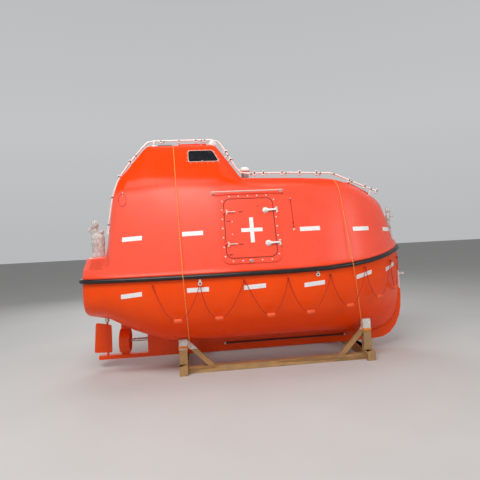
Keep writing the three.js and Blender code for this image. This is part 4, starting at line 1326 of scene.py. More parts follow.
@dataclass
class Shells:
    """Hull, keel and canopy with their silver tapes, eye plates and pads."""

    tape_high: float = 0.060
    tape_thick: float = 0.0014
    canopy_tapes: tuple[tuple[float, float, float, float], ...] = (
        (-1.892, -1.619, 1.938, 1.950),
        (-1.072, -0.782, 1.974, 1.980),
        (0.593, 0.893, 1.968, 1.970),
        (1.427, 1.720, 1.936, 1.938),
        (2.040, 2.205, 1.915, 1.911),
    )
    hull_tapes: tuple[tuple[float, float, float, float], ...] = (
        (-1.908, -1.628, 1.177, 1.203),
        (-1.032, -0.739, 1.218, 1.218),
        (-0.267, 0.036, 1.209, 1.222),
        (0.575, 0.874, 1.192, 1.213),
        (1.381, 1.658, 1.242, 1.296),
        (1.980, 2.213, 1.294, 1.362),
    )
    eye_plates: tuple[tuple[float, float], ...] = ((-0.855, 1.318), (0.778, 1.342))
    hull: Skin = field(default_factory=lambda: Skin("hull_shell", "keel"))
    canopy: Skin = field(default_factory=lambda: Skin("canopy"))

    def build(self) -> None:
        """Makes every piece of the shells."""
        dress("hull_shell", "hull_skin", "hull", angle=38)
        dress("keel", "keel_skeg", "keel", 0.008, 32)
        dress("canopy", "canopy_skin", "canopy", angle=26)
        self._tapes()
        self._eyes()
        self._step_pads()
        self._roof_plate()
        self._stem_strip()

    def _tapes(self) -> None:
        """Silver tapes on both sides of canopy and hull."""
        h = self.tape_high / 2
        rows_of = {"canopy": (self.canopy, self.canopy_tapes), "hull": (self.hull, self.hull_tapes)}
        for name, (skin, rows) in rows_of.items():
            shape = Shape()
            for side in Side:
                for aft, fore, low, high in rows:
                    corners = ((aft, low - h), (fore, high - h), (fore, high + h), (aft, low + h))
                    skin.patch(shape, corners, side, self.tape_thick)
            publish(shape.build(f"tapes_{name}", 30), "boat", "tape")

    def _eyes(self) -> None:
        """Forged eye plates under the fender, with a ring through each and a black disc of painted shade in
        each eye.
        """
        plates, holes, bolts, outs = Shape(), Shape(), [], []
        eye, low, high, half = -0.018, -0.010, 0.036, 0.014
        corners = ((-half, low, 0.006), (half, low, 0.006), (half, high, 0.010), (-half, high, 0.010))
        for side in Side:
            for x, z in self.eye_plates:
                place, normal = self.hull.side(x, z, side)
                panel = Panel(tuple(place), (1, 0, 0), tuple(normal))
                web = round_polygon(corners)
                plates.skin(np.array([panel.outline(web, w) for w in (-0.002, 0.004, 0.0055)]))
                plates.turned(panel.point(0, eye, -0.002), panel.out(), disc(0.027, 0, 0.006), 24)
                plates.tube(panel.ring((0, eye, 0.010), 0.021, 25), 0.0058, 8)
                # Painted shade: a black disc in the boss stands for the dark of the hole through the eye.
                holes.turned(panel.point(0, eye, 0.004), panel.out(), disc(0.013, 0, 0.0030), 20)
                bolts.append(panel.point(0, 0.020, 0.0055))
                outs.append(panel.out())
        publish(plates.build("eye_plates"), "boat", "white")
        publish(holes.build("eye_plate_holes"), "boat", "gasket")
        studded("eye_plate_bolts", "boat", "zinc", bolts, outs, (0.006, 0.003))

    def _step_pads(self) -> None:
        """An anti-slip pad on each quarter: a raised field with a fine moulded grain and a ridge above it."""
        edge, ridge, tread, outs = Shape(), Shape(), [], []
        aft, fore, low, high = -2.345, -2.155, 1.550, 1.672
        across, up, thick = 36, 16, 0.003
        for side in Side:
            corners = ((aft, low), (fore, low), (fore, high), (aft, high))
            self.canopy.patch(edge, corners, side, thick)
            brow = ((aft, high + 0.009), (fore, high + 0.009), (fore, high + 0.019), (aft, high + 0.019))
            self.canopy.patch(ridge, brow, side, 0.005)
            for i in range(across):
                for j in range(up + 1):
                    x = aft + 0.006 + (fore - aft - 0.012) * (i + 0.5 * (j % 2)) / across
                    place, normal = self.canopy.side(x, low + 0.005 + (high - low - 0.010) * j / up, side)
                    tread.append(tuple(place + thick * normal))
                    outs.append(tuple(normal))
        publish(edge.build("step_pads", 30), "boat", "pad")
        publish(ridge.build("step_pad_ridges", 30), "boat", "canopy")
        studded("step_pad_grain", "boat", "pad", tread, outs, (0.0012, 0.0010))

    def _roof_plate(self) -> None:
        """A bare metal plate by the edge of the tower's roof."""
        aft, fore, thick = -1.396, -1.185, 0.020
        xs = np.linspace(aft, fore, 7)
        rows = [[self.canopy.above(x, y) for x in xs] for y in (-0.368, -0.335, -0.300)]
        publish(lay_sheet(Shape(), rows, thick).build("roof_plate", 30), "boat", "zinc")

    def _stem_strip(self) -> None:
        """A pale wear strip up each side of the stem."""
        shape = Shape()
        for side in Side:
            heights = np.linspace(0.93, 1.22, 9)
            rows = [[self.hull.side(x, z, side) for z in heights] for x in (2.443, 2.452, 2.461)]
            lay_sheet(shape, rows, 0.0016)
        publish(shape.build("stem_strips", 30), "boat", "tape")


@dataclass
class Fender:
    """The rubber fender round the gunwale."""

    def build(self) -> None:
        """Makes the fender."""
        dress("fender", "fender_belt", "rubber", angle=50)


@dataclass
class SideDoor:
    """A side door with its frame, levers, keepers, bolts, hinges and the cross of silver tape."""

    side: Side
    cross: tuple[float, float] = (0.022, -0.039)
    bolt_step: float = 0.135
    bolt_line: tuple[float, float] = (0.384, 0.472)
    seal_line: tuple[float, float] = (0.3535, 0.4320)
    levers: tuple[float, float] = (0.243, -0.240)
    hinges: tuple[float, float] = (0.2345, -0.234)
    spindle: float = 0.240
    face: float = 0.0112
    seal_radius: float = 0.0068

    def build(self) -> None:
        """Makes the door's pieces."""
        tag, panel = self.side.tag, side_panel(self.side)
        leaf = f"side_door_{tag}"
        dress(f"door_frame_{tag}", f"door_frame_skin_{tag}", "canopy", 0.003)
        dress(f"door_{tag}", f"door_leaf_{tag}", "door", 0.004, body=leaf)
        for level in ("upper", "lower"):
            dress(f"door_handle_{level}_{tag}", f"lever_{level}_{tag}", "white", 0.003, body=leaf)
        dress(f"handrail_{tag}", f"grab_rail_{tag}", "rail", angle=40)
        self._flange_bolts(panel)
        self._gasket(panel)
        self._keepers(panel)
        self._cross(panel, leaf)
        self._boss_caps(panel, leaf)
        self._hinge_screws(panel, leaf)
        self._pad_eye(panel)

    def _flange_bolts(self, panel: Panel) -> None:
        """Domed bolts round the frame's flange, on the canopy outside the door's edge."""
        path = round_box(*self.bolt_line, 0.115, steps=6)
        size = (self.bolt_step, 0.0060, 0.0040)
        bolted(f"frame_bolts_{self.side.tag}", "pipe", panel, path, 0.0115, size)

    def _gasket(self, panel: Panel) -> None:
        """The dark red seal in the gap round the door, on the frame's side: a rubber seal made wider and
        darker as painted shade of the groove.
        """
        ring = panel.outline(round_box(*self.seal_line, 0.094, steps=8), 0.0085)
        way = np.roll(ring, -1, axis=0) - np.roll(ring, 1, axis=0)
        way /= np.linalg.norm(way, axis=1)[:, None]
        out = np.tile(panel.out(), (len(ring), 1))
        across = np.cross(way, out)
        turn = np.linspace(0, 2 * math.pi, 8, endpoint=False)
        loop = np.cos(turn)[None, :, None] * across[:, None] + np.sin(turn)[None, :, None] * out[:, None]
        shape = Shape().skin(ring[:, None] + self.seal_radius * loop, closed=True)
        publish(shape.build(f"door_seal_{self.side.tag}", 60), "boat", "seal_groove_shade")

    def _keepers(self, panel: Panel) -> None:
        """The catch on the frame that each lever's end presses on."""
        shape = Shape()
        for v in self.levers:
            shape.block(panel, (0.390, v - 0.044, 0.011), (0.416, v + 0.044, 0.019))
            for low in (v + 0.024, v - 0.038):
                shape.block(panel, (0.392, low, 0.017), (0.414, low + 0.014, 0.040))
        publish(shape.build(f"lever_keepers_{self.side.tag}"), "boat", "white")

    def _cross(self, panel: Panel, leaf: str) -> None:
        """Two strips of silver tape laid across each other on the door."""
        shape = Shape()
        u, v = self.cross
        for half_u, half_v, top in ((0.150, 0.027, 0.0122), (0.028, 0.182, 0.0128)):
            shape.block(panel, (u - half_u, v - half_v, 0.0108), (u + half_u, v + half_v, top), 0.0003)
        publish(shape.build(f"tape_cross_{self.side.tag}"), leaf, "tape")

    def _boss_caps(self, panel: Panel, leaf: str) -> None:
        """A wide cap over each lever's spindle, with its nut."""
        shape = Shape()
        cap = [(0.0, 0.0), (0.041, 0.0), (0.043, 0.004), (0.038, 0.009), (0.0315, 0.0105), (0.0, 0.0105)]
        nut = [(0.0, 0), (0.014, 0), (0.014, 0.006), (0.010, 0.009), (0.0, 0.009)]
        for v in self.levers:
            shape.turned(panel.point(self.spindle, v, self.face), panel.out(), cap, 28)
            shape.turned(panel.point(self.spindle, v, 0.0398), panel.out(), nut, 6)
        publish(shape.build(f"lever_caps_{self.side.tag}"), leaf, "white")

    def _hinge_screws(self, panel: Panel, leaf: str) -> None:
        """The pale plates and bars of the hinge straps, their screws and two dots of sealant."""
        bars, u = Shape(), -0.318
        dots = ((-0.249, 0.094), (-0.255, -0.090))
        for v in self.hinges:
            bars.block(panel, (u - 0.010, v - 0.037, self.face), (u + 0.010, v + 0.037, 0.0275))
            bars.block(panel, (u + 0.009, v - 0.0075, 0.0265), (-0.205, v + 0.0075, 0.0285), 0.001)
        publish(bars.build(f"hinge_bars_{self.side.tag}"), leaf, "rail")
        points = [panel.point(u, v, 0.0288) for v in self.hinges for u in (-0.300, -0.205)]
        points += [panel.point(u, v, self.face) for u, v in dots]
        outs = np.tile(panel.out(), (len(points), 1))
        studded(f"hinge_screws_{self.side.tag}", leaf, "pipe", points, outs, (0.0050, 0.0025))

    def _pad_eye(self, panel: Panel) -> None:
        """A diamond plate with a ring under the door."""
        shape = Shape()
        u, v = -0.0206, -0.478
        rings = []
        for w, inset in ((self.face, 0.0), (0.0152, 0.0), (0.0168, 0.003)):
            wide, high = 0.034 - inset, 0.020 - inset
            corners = ((u - wide, v, 0.006), (u, v - high, 0.004), (u + wide, v, 0.006), (u, v + high, 0.004))
            rings.append(panel.outline(round_polygon(corners), w))
        shape.skin(np.array(rings))
        shape.tube(panel.ring((u, v - 0.008, 0.0215), 0.015, 21), 0.0032, 8)
        publish(shape.build(f"pad_eye_{self.side.tag}"), "boat", "zinc")


@dataclass
class TowerWindows:
    """The panes of the tower with their metal frames and screws."""

    pane_top: float = 0.0122
    frame_high: float = 0.008
    frame_wide: float = 0.022
    frame_half: tuple[float, float] = (0.190, 0.1175)

    def build(self) -> None:
        """Makes panes, frames and screws."""
        for side in Side:
            dress(f"window_{side.tag}", f"pane_{side.tag}", "glass", angle=40)
            self._edging(tower_panel(side), side)
        for tag, panel in (("front", FRONT_PANEL), ("back", BACK_PANEL)):
            dress(f"window_{tag}", f"pane_{tag}", "glass", angle=40)
            self._frame(panel, tag)

    @staticmethod
    def _outline(aft: float, low: float, top: float, v: float, radius: float) -> list[tuple[float, float]]:
        """The slanted outline of a side pane.

        Args:
            aft: how far its upright edge is from the middle.
            low: where its lower fore corner is.
            top: where its upper fore corner is.
            v: half its height.
            radius: how far from a corner its rounding starts.

        Returns:
            Its points.
        """
        return round_polygon(((-aft, -v, radius), (low, -v, radius), (top, v, radius), (-aft, v, radius)))

    def _edging(self, panel: Panel, side: Side) -> None:
        """The thin pale edge of a side pane, the screws round it and its small latch."""
        outer = self._outline(0.2115, 0.2575, 0.166, 0.1185, 0.034)
        inner = self._outline(0.202, 0.243, 0.160, 0.109, 0.042)
        section = ((outer, 0.004), (outer, 0.0108), (inner, 0.0115), (inner, 0.0085))
        shape = Shape().border(panel, section)
        shape.block(panel, (-0.016, -0.116, 0.0100), (0.016, -0.098, 0.0150), 0.0015)
        shape.rod(panel.point(-0.010, -0.107, 0.0165), panel.point(0.014, -0.101, 0.0185), 0.0040, 8)
        publish(shape.build(f"window_edging_{side.tag}"), "boat", "edging")
        screws = self._outline(0.228, 0.281, 0.178, 0.135, 0.040)
        name = f"window_screws_{side.tag}"
        bolted(name, "rail", panel, screws, 0.0004, (0.088, 0.0040, 0.0022))

    def _frame(self, panel: Panel, tag: str) -> None:
        """A flat metal frame over a pane's edge, with its screws."""
        outer = round_box(*self.frame_half, 0.040)
        inner = round_box(*(size - self.frame_wide for size in self.frame_half), 0.030)
        low, high = self.pane_top - 0.001, self.pane_top + self.frame_high
        soft, turn = 0.0015, 0.06
        section = (
            (outer, low),
            (outer, high - soft),
            (blend(outer, inner, turn), high),
            (blend(outer, inner, 1 - turn), high),
            (inner, high - soft),
            (inner, low),
        )
        publish(Shape().border(panel, section).build(f"window_frame_{tag}"), "boat", "steel")
        screws, size = blend(outer, inner, 0.5), (0.078, 0.0042, 0.0022)
        bolted(f"window_screws_{tag}", "zinc", panel, screws, high - 0.0004, size)


@dataclass
class Hatch:
    """A hatch's coaming and lid with its seal, grip and raised field."""

    name: str
    panel: Panel
    width: float
    height: float

    def build(self) -> None:
        """Makes the hatch's pieces."""
        body = f"{self.name}_lid"
        dress(f"coaming_{self.name}", f"hatch_rim_{self.name}", "canopy", 0.002)
        dress(f"hatch_{self.name}", f"hatch_lid_{self.name}", "canopy", 0.004, body=body)
        self._seal(body)
        self._grip(body)
        self._raised_field(body)

    def _seal(self, body: str) -> None:
        """The rubber seal under the lid."""
        u, v = self.width / 2 - 0.010, self.height / 2 - 0.010
        low, high = 0.0250, 0.0296
        outer, inner = (round_box(u, v, 0.052, inset) for inset in (0, 0.007))
        shape = Shape().border(self.panel, ((outer, low), (outer, high), (inner, high), (inner, low)))
        publish(shape.build(f"hatch_seal_{self.name}"), body, "gasket")

    def _raised_field(self, body: str) -> None:
        """The stiffening field moulded in the lid."""
        rings = []
        for inset, w in ((0.070, 0.0458), (0.074, 0.0485), (0.085, 0.0500)):
            u, v = self.width / 2 - inset, self.height / 2 - inset
            rings.append(self.panel.outline(round_box(u, v, 0.035), w))
        shape = Shape().skin(np.array(rings))
        publish(shape.build(f"hatch_field_{self.name}", 50), body, "canopy")

    def _grip(self, body: str) -> None:
        """A bent grip near the edge away from the hinge."""
        v = -self.height / 2 + 0.045
        bend = [(0.062, 0.044), (0.062, 0.052), (0.054, 0.062), (0.040, 0.066)]
        points = [(-u, w) for u, w in bend] + bend[::-1]
        path = np.array([self.panel.point(u, v, w) for u, w in points])
        bar = Shape().tube(eased(evenly(path, 0.004), 3), 0.0055, 10)
        publish(bar.build(f"hatch_grip_{self.name}"), body, "steel")


@dataclass
class SprayPipe:
    """The water spray pipe over the canopy, its bands, its jets and the box at its after end."""

    y: float = -0.250
    route: tuple[tuple[float, float], ...] = (
        (-2.210, 2.040), (-2.178, 2.226), (-2.123, 2.563), (-2.046, 2.813), (-1.992, 2.915), (-1.844, 3.120),
        (-1.681, 3.314), (-1.590, 3.412), (-1.532, 3.446), (-1.450, 3.450), (-0.590, 3.450), (-0.510, 3.444),
        (-0.448, 3.400), (-0.322, 3.198), (-0.207, 2.990), (-0.135, 2.915), (-0.040, 2.900), (0.630, 2.892),
        (1.210, 2.868), (1.360, 2.856), (1.641, 2.729), (1.873, 2.628), (2.104, 2.531),
    )
    jets: tuple[float, ...] = (
        -2.112, -1.995, -1.830, -1.355, -1.080, -0.820, -0.682, -0.356, -0.284,
        0.081, 0.227, 0.526, 0.810, 1.090, 1.629, 1.883, 2.080,
    )
    bands: tuple[float, ...] = (
        -2.185, -1.750, -1.310, -0.730, -0.320, 0.030, 0.590, 1.150, 1.381, 1.670, 1.990,
    )

    def build(self) -> None:
        """Makes the pipe's pieces."""
        dress("spray_pipe", "spray_tube", "pipe", angle=50)
        path = evenly(np.array([(x, self.y, z) for x, z in self.route]), 0.005)
        self._collars(path, "pipe_bands", self.bands, "zinc", 0.0175, 0.022)
        self._collars(path, "jet_bands", self.jets, "dark", 0.0185, 0.017)
        self._jets(path)
        self._end_box()

    def _jets(self, path: np.ndarray) -> None:
        """The spray jets: a pale spindle through each band, with a domed head above and below."""
        shape = Shape()
        way = frames_along(path)[0]
        for x in self.jets:
            k = int(np.argmin(np.abs(path[:, 0] - x)))
            up = np.array([-way[k][2], 0.0, way[k][0]])
            top = min(0.040, CAD_BOX[1][2] - path[k][2])
            profile = [(0.0, -0.046), (0.015, -0.045), (0.024, -0.038), (0.025, -0.028), (0.013, -0.017),
                       (0.013, top - 0.020), (0.025, top - 0.014), (0.025, top - 0.008), (0.015, top - 0.001),
                       (0.0, top)]
            shape.turned(path[k], up, profile, 16)
        publish(shape.build("spray_jets", 50), "boat", "white")

    def _end_box(self) -> None:
        """The box fitting at the pipe's lower after end."""
        shape = Shape()
        union = [(0, 0), (0.024, 0), (0.026, 0.006), (0.026, 0.046), (0.020, 0.056), (0, 0.056)]
        shape.turned((-2.190, self.y, 2.040), (0.15, 0, 1), union, 16)
        panel = Panel((-2.178, self.y, 2.150), (1, 0, 0.15), (0, -1, 0))
        shape.block(panel, (-0.030, -0.012, -0.022), (0.034, 0.012, 0.022), 0.004)
        place, normal = Skin("canopy").hit((-3, -0.655, 2.085), (1, 0, 0))
        foot = Panel(tuple(place), (0, 1, 0), tuple(normal))
        shape.block(foot, (-0.034, -0.026, -0.004), (0.034, 0.026, 0.020), 0.004)
        publish(shape.build("pipe_end_box"), "boat", "white")

    @staticmethod
    def _collars(
        path: np.ndarray, name: str, spots: Sequence[float], look: str, radius: float, wide: float
    ) -> None:
        """Collars on the pipe, which stay under the top of the part's box.

        Args:
            path: the pipe's middle.
            name: the piece's name.
            spots: where they are along the boat.
            look: their finish.
            radius: their radius.
            wide: their width along the pipe.
        """
        way = frames_along(path)[0]
        picks = [int(np.argmin(np.abs(path[:, 0] - x))) for x in spots]
        host = points_host(path[picks], way[picks])
        grown = collars(look).grow(host, name, {"Radius": radius, "Width": wide})
        for vertex in grown.data.vertices:
            vertex.co.z = min(vertex.co.z, CAD_BOX[1][2])
        publish(grown, "boat", look)


@dataclass
class DeckFittings:
    """Ventilator, lamp, lamp socket, painter release and the wrapped lifting hooks.

    A lump is x, z, its half length, half height and half breadth; a limb is x, z at both ends and a radius.
    """

    lumps: dict[str, tuple[tuple[float, ...], ...]] = field(
        default_factory=lambda: {
            "aft": (
                (-2.447, 2.196, 0.060, 0.080, 0.056), (-2.531, 2.122, 0.034, 0.038, 0.034),
                (-2.346, 2.086, 0.040, 0.054, 0.040), (-2.404, 1.990, 0.110, 0.090, 0.068),
                (-2.402, 1.920, 0.112, 0.140, 0.072), (-2.402, 1.810, 0.110, 0.140, 0.074),
                (-2.402, 1.720, 0.112, 0.120, 0.074),
            ),
            "fore": (
                (2.366, 2.225, 0.048, 0.085, 0.044), (2.360, 2.120, 0.050, 0.100, 0.046),
                (2.362, 1.990, 0.044, 0.120, 0.042), (2.371, 1.860, 0.038, 0.120, 0.040),
                (2.385, 1.760, 0.034, 0.090, 0.036),
            ),
        }
    )
    limbs: dict[str, tuple[tuple[float, ...], ...]] = field(
        default_factory=lambda: {
            "aft": ((-2.535, 2.122, -2.470, 2.190, 0.022), (-2.535, 2.118, -2.465, 2.040, 0.022),
                    (-2.348, 2.095, -2.400, 2.060, 0.032), (-2.446, 2.190, -2.430, 2.010, 0.042)),
            "fore": ((2.380, 2.120, 2.440, 2.142, 0.016), (2.440, 2.142, 2.446, 2.112, 0.014)),
        }
    )

    def build(self) -> None:
        """Makes the fittings."""
        self._ventilator()
        self._lamp()
        self._line_eyes()
        dress("lamp_socket", "lamp_stand", "white", 0.003)
        dress("painter_release", "release_pin", "white", 0.001, 50)
        for name in ("aft", "fore"):
            self._wrapped_hook(name)

    @staticmethod
    def _ventilator() -> None:
        """A flat mushroom cap on a barred neck."""
        foot, up = (-0.045, -0.060, 0.0), (0, 0, 1)
        bars, bar_reach = 14, 0.056
        cap = [(0.0, 2.950), (0.060, 2.950), (0.082, 2.956), (0.088, 2.970), (0.086, 2.988), (0.076, 3.008),
               (0.056, 3.024), (0.028, 3.033), (0.0, 3.035)]
        shape = Shape().turned(foot, up, cap, 36)
        publish(shape.build("ventilator_cap", 60), "boat", "white", ["ventilator"])
        base = [(0.0, 2.800), (0.078, 2.800), (0.078, 2.838), (0.070, 2.846), (0.0, 2.846)]
        neck = Shape().turned(foot, up, base, 32)
        neck.turned(foot, up, disc(0.040, 2.846, 2.951), 24)
        for k in range(bars):
            a = 2 * math.pi * k / bars
            x, y = foot[0] + bar_reach * math.cos(a), foot[1] + bar_reach * math.sin(a)
            neck.rod((x, y, 2.844), (x, y, 2.953), 0.0045, 8)
        publish(neck.build("ventilator_neck", 40), "boat", "zinc")

    @staticmethod
    def _lamp() -> None:
        """A small white lamp globe on a low foot."""
        foot, up = (-1.465, -0.325, 0.0), (0, 0, 1)
        radius, middle = 0.025, 3.395
        base = [(0.0, 3.330), (0.028, 3.330), (0.028, 3.366), (0.024, 3.371), (0.0, 3.371)]
        publish(Shape().turned(foot, up, base, 24).build("lamp_foot", 40), "boat", "white")
        arc = np.linspace(0.5, math.pi - 0.05, 11)
        globe = [(0.0, middle - radius)]
        globe += [(radius * math.sin(a), middle - radius * math.cos(a)) for a in arc]
        globe.append((0.0, middle + radius))
        piece = Shape().turned(foot, up, globe, 24).build("lamp_globe", 70)
        publish(piece, "boat", "lens", ["position_lamp"])

    @staticmethod
    def _line_eyes() -> None:
        """The two small eyes on the canopy's side that a line hangs from, each with its ring."""
        radius = 0.009
        for node, x, z in (("tether_eye", 0.498, 2.419), ("loop_eye", -1.894, 2.600)):
            dress(node, f"{node}_block", "steel", 0.002)
            low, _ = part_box(node)
            ring = circle((x, low[1] + 0.003, z - radius + 0.001), (radius, 0, 0), (0, 0, radius), 19)
            publish(Shape().tube(ring, 0.0020, 8).build(f"{node}_ring"), "boat", "steel")

    def _wrapped_hook(self, name: str) -> None:
        """A lifting hook in bubble film: rounded lumps over its head, beak and shank, grown together."""
        node = f"hook_{name}"
        lumps, limbs = self.lumps[name], self.limbs[name]
        shape = Shape()
        for x, z, along, high, across in lumps:
            rings = []
            for a in np.linspace(0, math.pi, 11)[1:-1]:
                size, centre = math.sin(a), (x, 0, z - high * math.cos(a))
                rings.append(circle(centre, (along * size, 0, 0), (0, across * size, 0), 17)[:-1])
            shape.skin(np.array(rings))
        for x, z, x2, z2, radius in limbs:
            shape.rod((x, 0, z), (x2, 0, z2), radius, 12)
        obj = shape.build(f"{node}_wrap", 180)
        remesh = obj.modifiers.new("even", "REMESH")
        remesh.mode = "VOXEL"
        remesh.voxel_size = 0.006
        smooth = obj.modifiers.new("smooth", "SMOOTH")
        smooth.iterations = 6
        settle(obj)
        self._crumple(obj.data, 0.007)
        publish(obj, "boat", "wrap", [node])
        host = bpy.data.objects.new("host", obj.data.copy())
        bpy.context.scene.collection.objects.link(host)
        host.data.materials.clear()
        sizes = {"Spacing": 0.0125, "Radius": 0.0042, "Density": 9000}
        grown = bubbles("wrap").grow(host, f"{node}_bubbles", sizes)
        publish(grown, "boat", "wrap")

    @staticmethod
    def _crumple(mesh: bpy.types.Mesh, depth: float) -> None:
        """Pushes a wrapped skin in here and there, and never out of its box."""
        count = len(mesh.vertices)
        co, no = np.zeros(count * 3), np.zeros(count * 3)
        mesh.vertices.foreach_get("co", co)
        mesh.vertices.foreach_get("normal", no)
        co, no = co.reshape(-1, 3), no.reshape(-1, 3)
        fold = np.abs(np.sin(31 * co[:, 2] + 9 * np.sin(23 * co[:, 0]) + 7 * co[:, 1]))
        fine = np.abs(np.sin(83 * co[:, 2] - 41 * co[:, 0] + 5 * np.sin(67 * co[:, 1])))
        push = 0.005 + depth * (0.55 * (1 - fold) ** 2 + 0.3 * (1 - fine))
        mesh.vertices.foreach_set("co", (co - push[:, None] * no).ravel())
        mesh.update()


@dataclass
class Drive:
    """Propeller, guard, stern tube and rudder."""

    def build(self) -> None:
        """Makes the drive's pieces."""
        dress("propeller", "propeller_cast", "bronze", 0.0015, 35, "screw")
        dress("propeller_guard", "guard_ring", "keel", 0.003, 35)
        dress("stern_tube", "stern_tube_skin", "steel", 0.001, 50)
        dress("rudder", "rudder_blade", "keel", 0.004, 35, "helm_blade")
        dress("rudder_bearing", "rudder_bearing_skin", "steel", 0.001, 50)


@dataclass
class Cabin:
    """What the open doors show: floor, benches, engine box, helm seat and console."""

    def build(self) -> None:
        """Makes the cabin's pieces."""
        for node, look, slot, bevel in (
            ("cabin_floor", "liner", Slot.LINER, 0.0),
            ("bench_stbd", "liner", Slot.LINER, 0.012),
            ("bench_port", "liner", Slot.LINER, 0.012),
            ("engine", "engine", Slot.ENGINE, 0.02),
            ("helm_seat", "seat", Slot.SEAT, 0.015),
            ("helm_console", "engine", Slot.ENGINE, 0.004),
        ):
            dress(node, f"{node}_inside", look, bevel, 35)


@dataclass
class KeelRails:
    """Dark righting rails along the keel with a pale end bracket."""

    def build(self) -> None:
        """Makes the rails."""
        cap = [(0, 0), (0.0165, 0), (0.0175, 0.004), (0.0165, 0.022), (0, 0.022)]
        for side in Side:
            node = f"keel_rail_{side.tag}"
            dress(node, f"righting_rail_{side.tag}", "dark", 0.001, 40)
            shape = Shape()
            for x in (-0.506, 1.436):
                shape.turned((x, side.value * 0.078, 0.252), (1, 0, 0), cap)
            publish(shape.build(f"rail_ends_{side.tag}"), "boat", "white")


@dataclass
class Lifeline:
    """The becket line under the fender: one rope in bights, with a foam float on each."""

    side: Side
    radius: float = 0.005
    stand_off: float = 0.024
    eyes: tuple[tuple[float, float, float, float], ...] = (
        (-1.480, 1.306, 0.50, 0.480), (-0.856, 1.308, 0.40, 0.480), (-0.261, 1.310, 0.56, 0.480),
        (0.344, 1.302, 0.47, 0.480), (0.954, 1.312, 0.47, 0.476), (1.540, 1.366, 0.41, 0.466),
        (2.094, 1.424, 0.35, 0.434), (2.360, 1.450, 0.0, 0.0),
    )
    gunwale: tuple[tuple[float, float], ...] = (
        (-1.820, 1.030), (-1.370, 1.075), (-0.670, 1.100), (0.430, 1.100), (0.930, 1.060), (1.330, 0.966),
        (1.630, 0.846), (1.880, 0.700), (2.064, 0.548), (2.236, 0.370), (2.348, 0.225), (2.414, 0.118),
    )

    def point(self, x: float, z: float) -> Point:
        """A point of the rope, which hangs straight below the gunwale."""
        xs, halves = zip(*self.gunwale, strict=True)
        return (x, self.side.value * (float(np.interp(x, xs, halves)) + self.stand_off), z)

    def build(self) -> None:
        """Makes the rope with its floats and knots."""
        points, floats = [], []
        for (x, z, share, drop), (x2, z2, _, _) in zip(self.eyes[:-1], self.eyes[1:], strict=True):
            skew = math.log(share) / math.log(0.5)
            for s in np.linspace(0, 1, 60, endpoint=False):
                t = s**skew
                points.append(self.point(x + t * (x2 - x), z + t * (z2 - z) - 4 * drop * s * (1 - s)))
            t = 0.5**skew
            floats.append((x + t * (x2 - x), z + t * (z2 - z) - drop))
        points.append(self.point(*self.eyes[-1][:2]))
        path = eased(evenly(np.array(points), 0.005), 14)
        line = rope(f"becket_line_{self.side.tag}", path, self.radius, 0.034)
        node = f"lifeline_{self.side.tag}"
        publish(line, "boat", "red_rope", [node])
        buoys = publish(self._floats(path, floats), "boat", "foam")
        knots = publish(self._knots(), "boat", "red_rope")
        2 * self.radius

    def _floats(self, path: np.ndarray, spots: Sequence[tuple[float, float]]) -> bpy.types.Object:
        """Foam floats threaded on the line."""
        shape = Shape()
        half = [(0.0, 0.056), (0.012, 0.056), (0.022, 0.054), (0.027, 0.048), (0.028, 0.020)]
        profile = [(r, -h) for r, h in half] + [(0.0276, 0.0)] + half[::-1]
        for x, z in spots:
            middle = np.array(self.point(x, z))
            near = int(np.argmin(np.linalg.norm(path - middle, axis=1)))
            way = path[min(near + 9, len(path) - 1)] - path[max(near - 9, 0)]
            way /= np.linalg.norm(way)
            shape.turned(path[near], way, profile, 20)
        return shape.build(f"line_floats_{self.side.tag}", 50)

    def _knots(self) -> bpy.types.Object:
        """A lashing of three turns at each rope eye."""
        shape = Shape()
        for x, z, _, _ in self.eyes:
            centre = np.array(self.point(x, z))
            for k in (-1, 0, 1):
                turn = circle(centre + (0, 0, 0.0085 * k), (0.0105, 0, 0), (0, 0.0095, 0), 17)
                shape.tube(turn, 0.0042, 8)
        return shape.build(f"line_knots_{self.side.tag}", 60)


@dataclass
class HangingLine:
    """A thin line that hangs on the canopy's starboard side from its eye.

    route holds (x, z) along it. The line lies a touch off the canopy under it.
    """

    name: str
    node: str
    route: tuple[tuple[float, float], ...]
    radius: float
    knots: tuple[tuple[float, float], ...]
    far_end: str
    thimble: bool = False

    def build(self) -> None:
        skin = Skin("canopy")
        points = []
        for x, z in self.route:
            place, normal = skin.side(x, z, Side.STBD)
            points.append(tuple(place + (self.radius + 0.0004) * normal))
        path = evenly(np.array(points), 0.004)
        line = rope(self.name, path, self.radius, 0.024)
        publish(line, "boat", "red_rope", [self.node])
        shape = Shape()
        reach = 1.7 * self.radius
        for x, z in self.knots:
            place, normal = skin.side(x, z, Side.STBD)
            middle = np.array(place + (1.2 * self.radius) * normal)
            for k in (-1, 0, 1):
                centre = middle + (0, -0.0015, 1.5 * self.radius * k)
                turn = circle(centre, (reach, 0, 0), (0, 0.6 * reach, 0), 15)
                shape.tube(turn, 0.75 * self.radius, 8)
        pieces = [publish(shape.build(f"{self.name}_knots", 60), "boat", "red_rope")]
        if self.thimble:
            x, z = self.route[-1]
            place, normal = skin.side(x, z - 0.004, Side.STBD)
            middle = np.array(place + 0.006 * normal) + (0, -0.002, 0)
            ring = circle(middle, (0.011, 0, 0), (0, 0, 0.014), 19)
            eye = Shape().tube(ring, 0.0038, 8).build(f"{self.name}_thimble", 60)
            pieces.append(publish(eye, "boat", "pipe"))
        2 * self.radius


def slack_route(foot: tuple[float, float], drop: float, sway: float, count: int = 14) -> tuple:
    """The (x, z) route of a line that hangs a little out of plumb.

    Args:
        foot: where it starts.
        drop: how far it hangs down.
        sway: how far it wanders.
        count: how many steps it has.

    Returns:
        Its points.
    """
    x, z = foot
    steps = [i / count for i in range(count + 1)]
    return tuple((x + sway * math.sin(2.6 * t), z - drop * t) for t in steps)


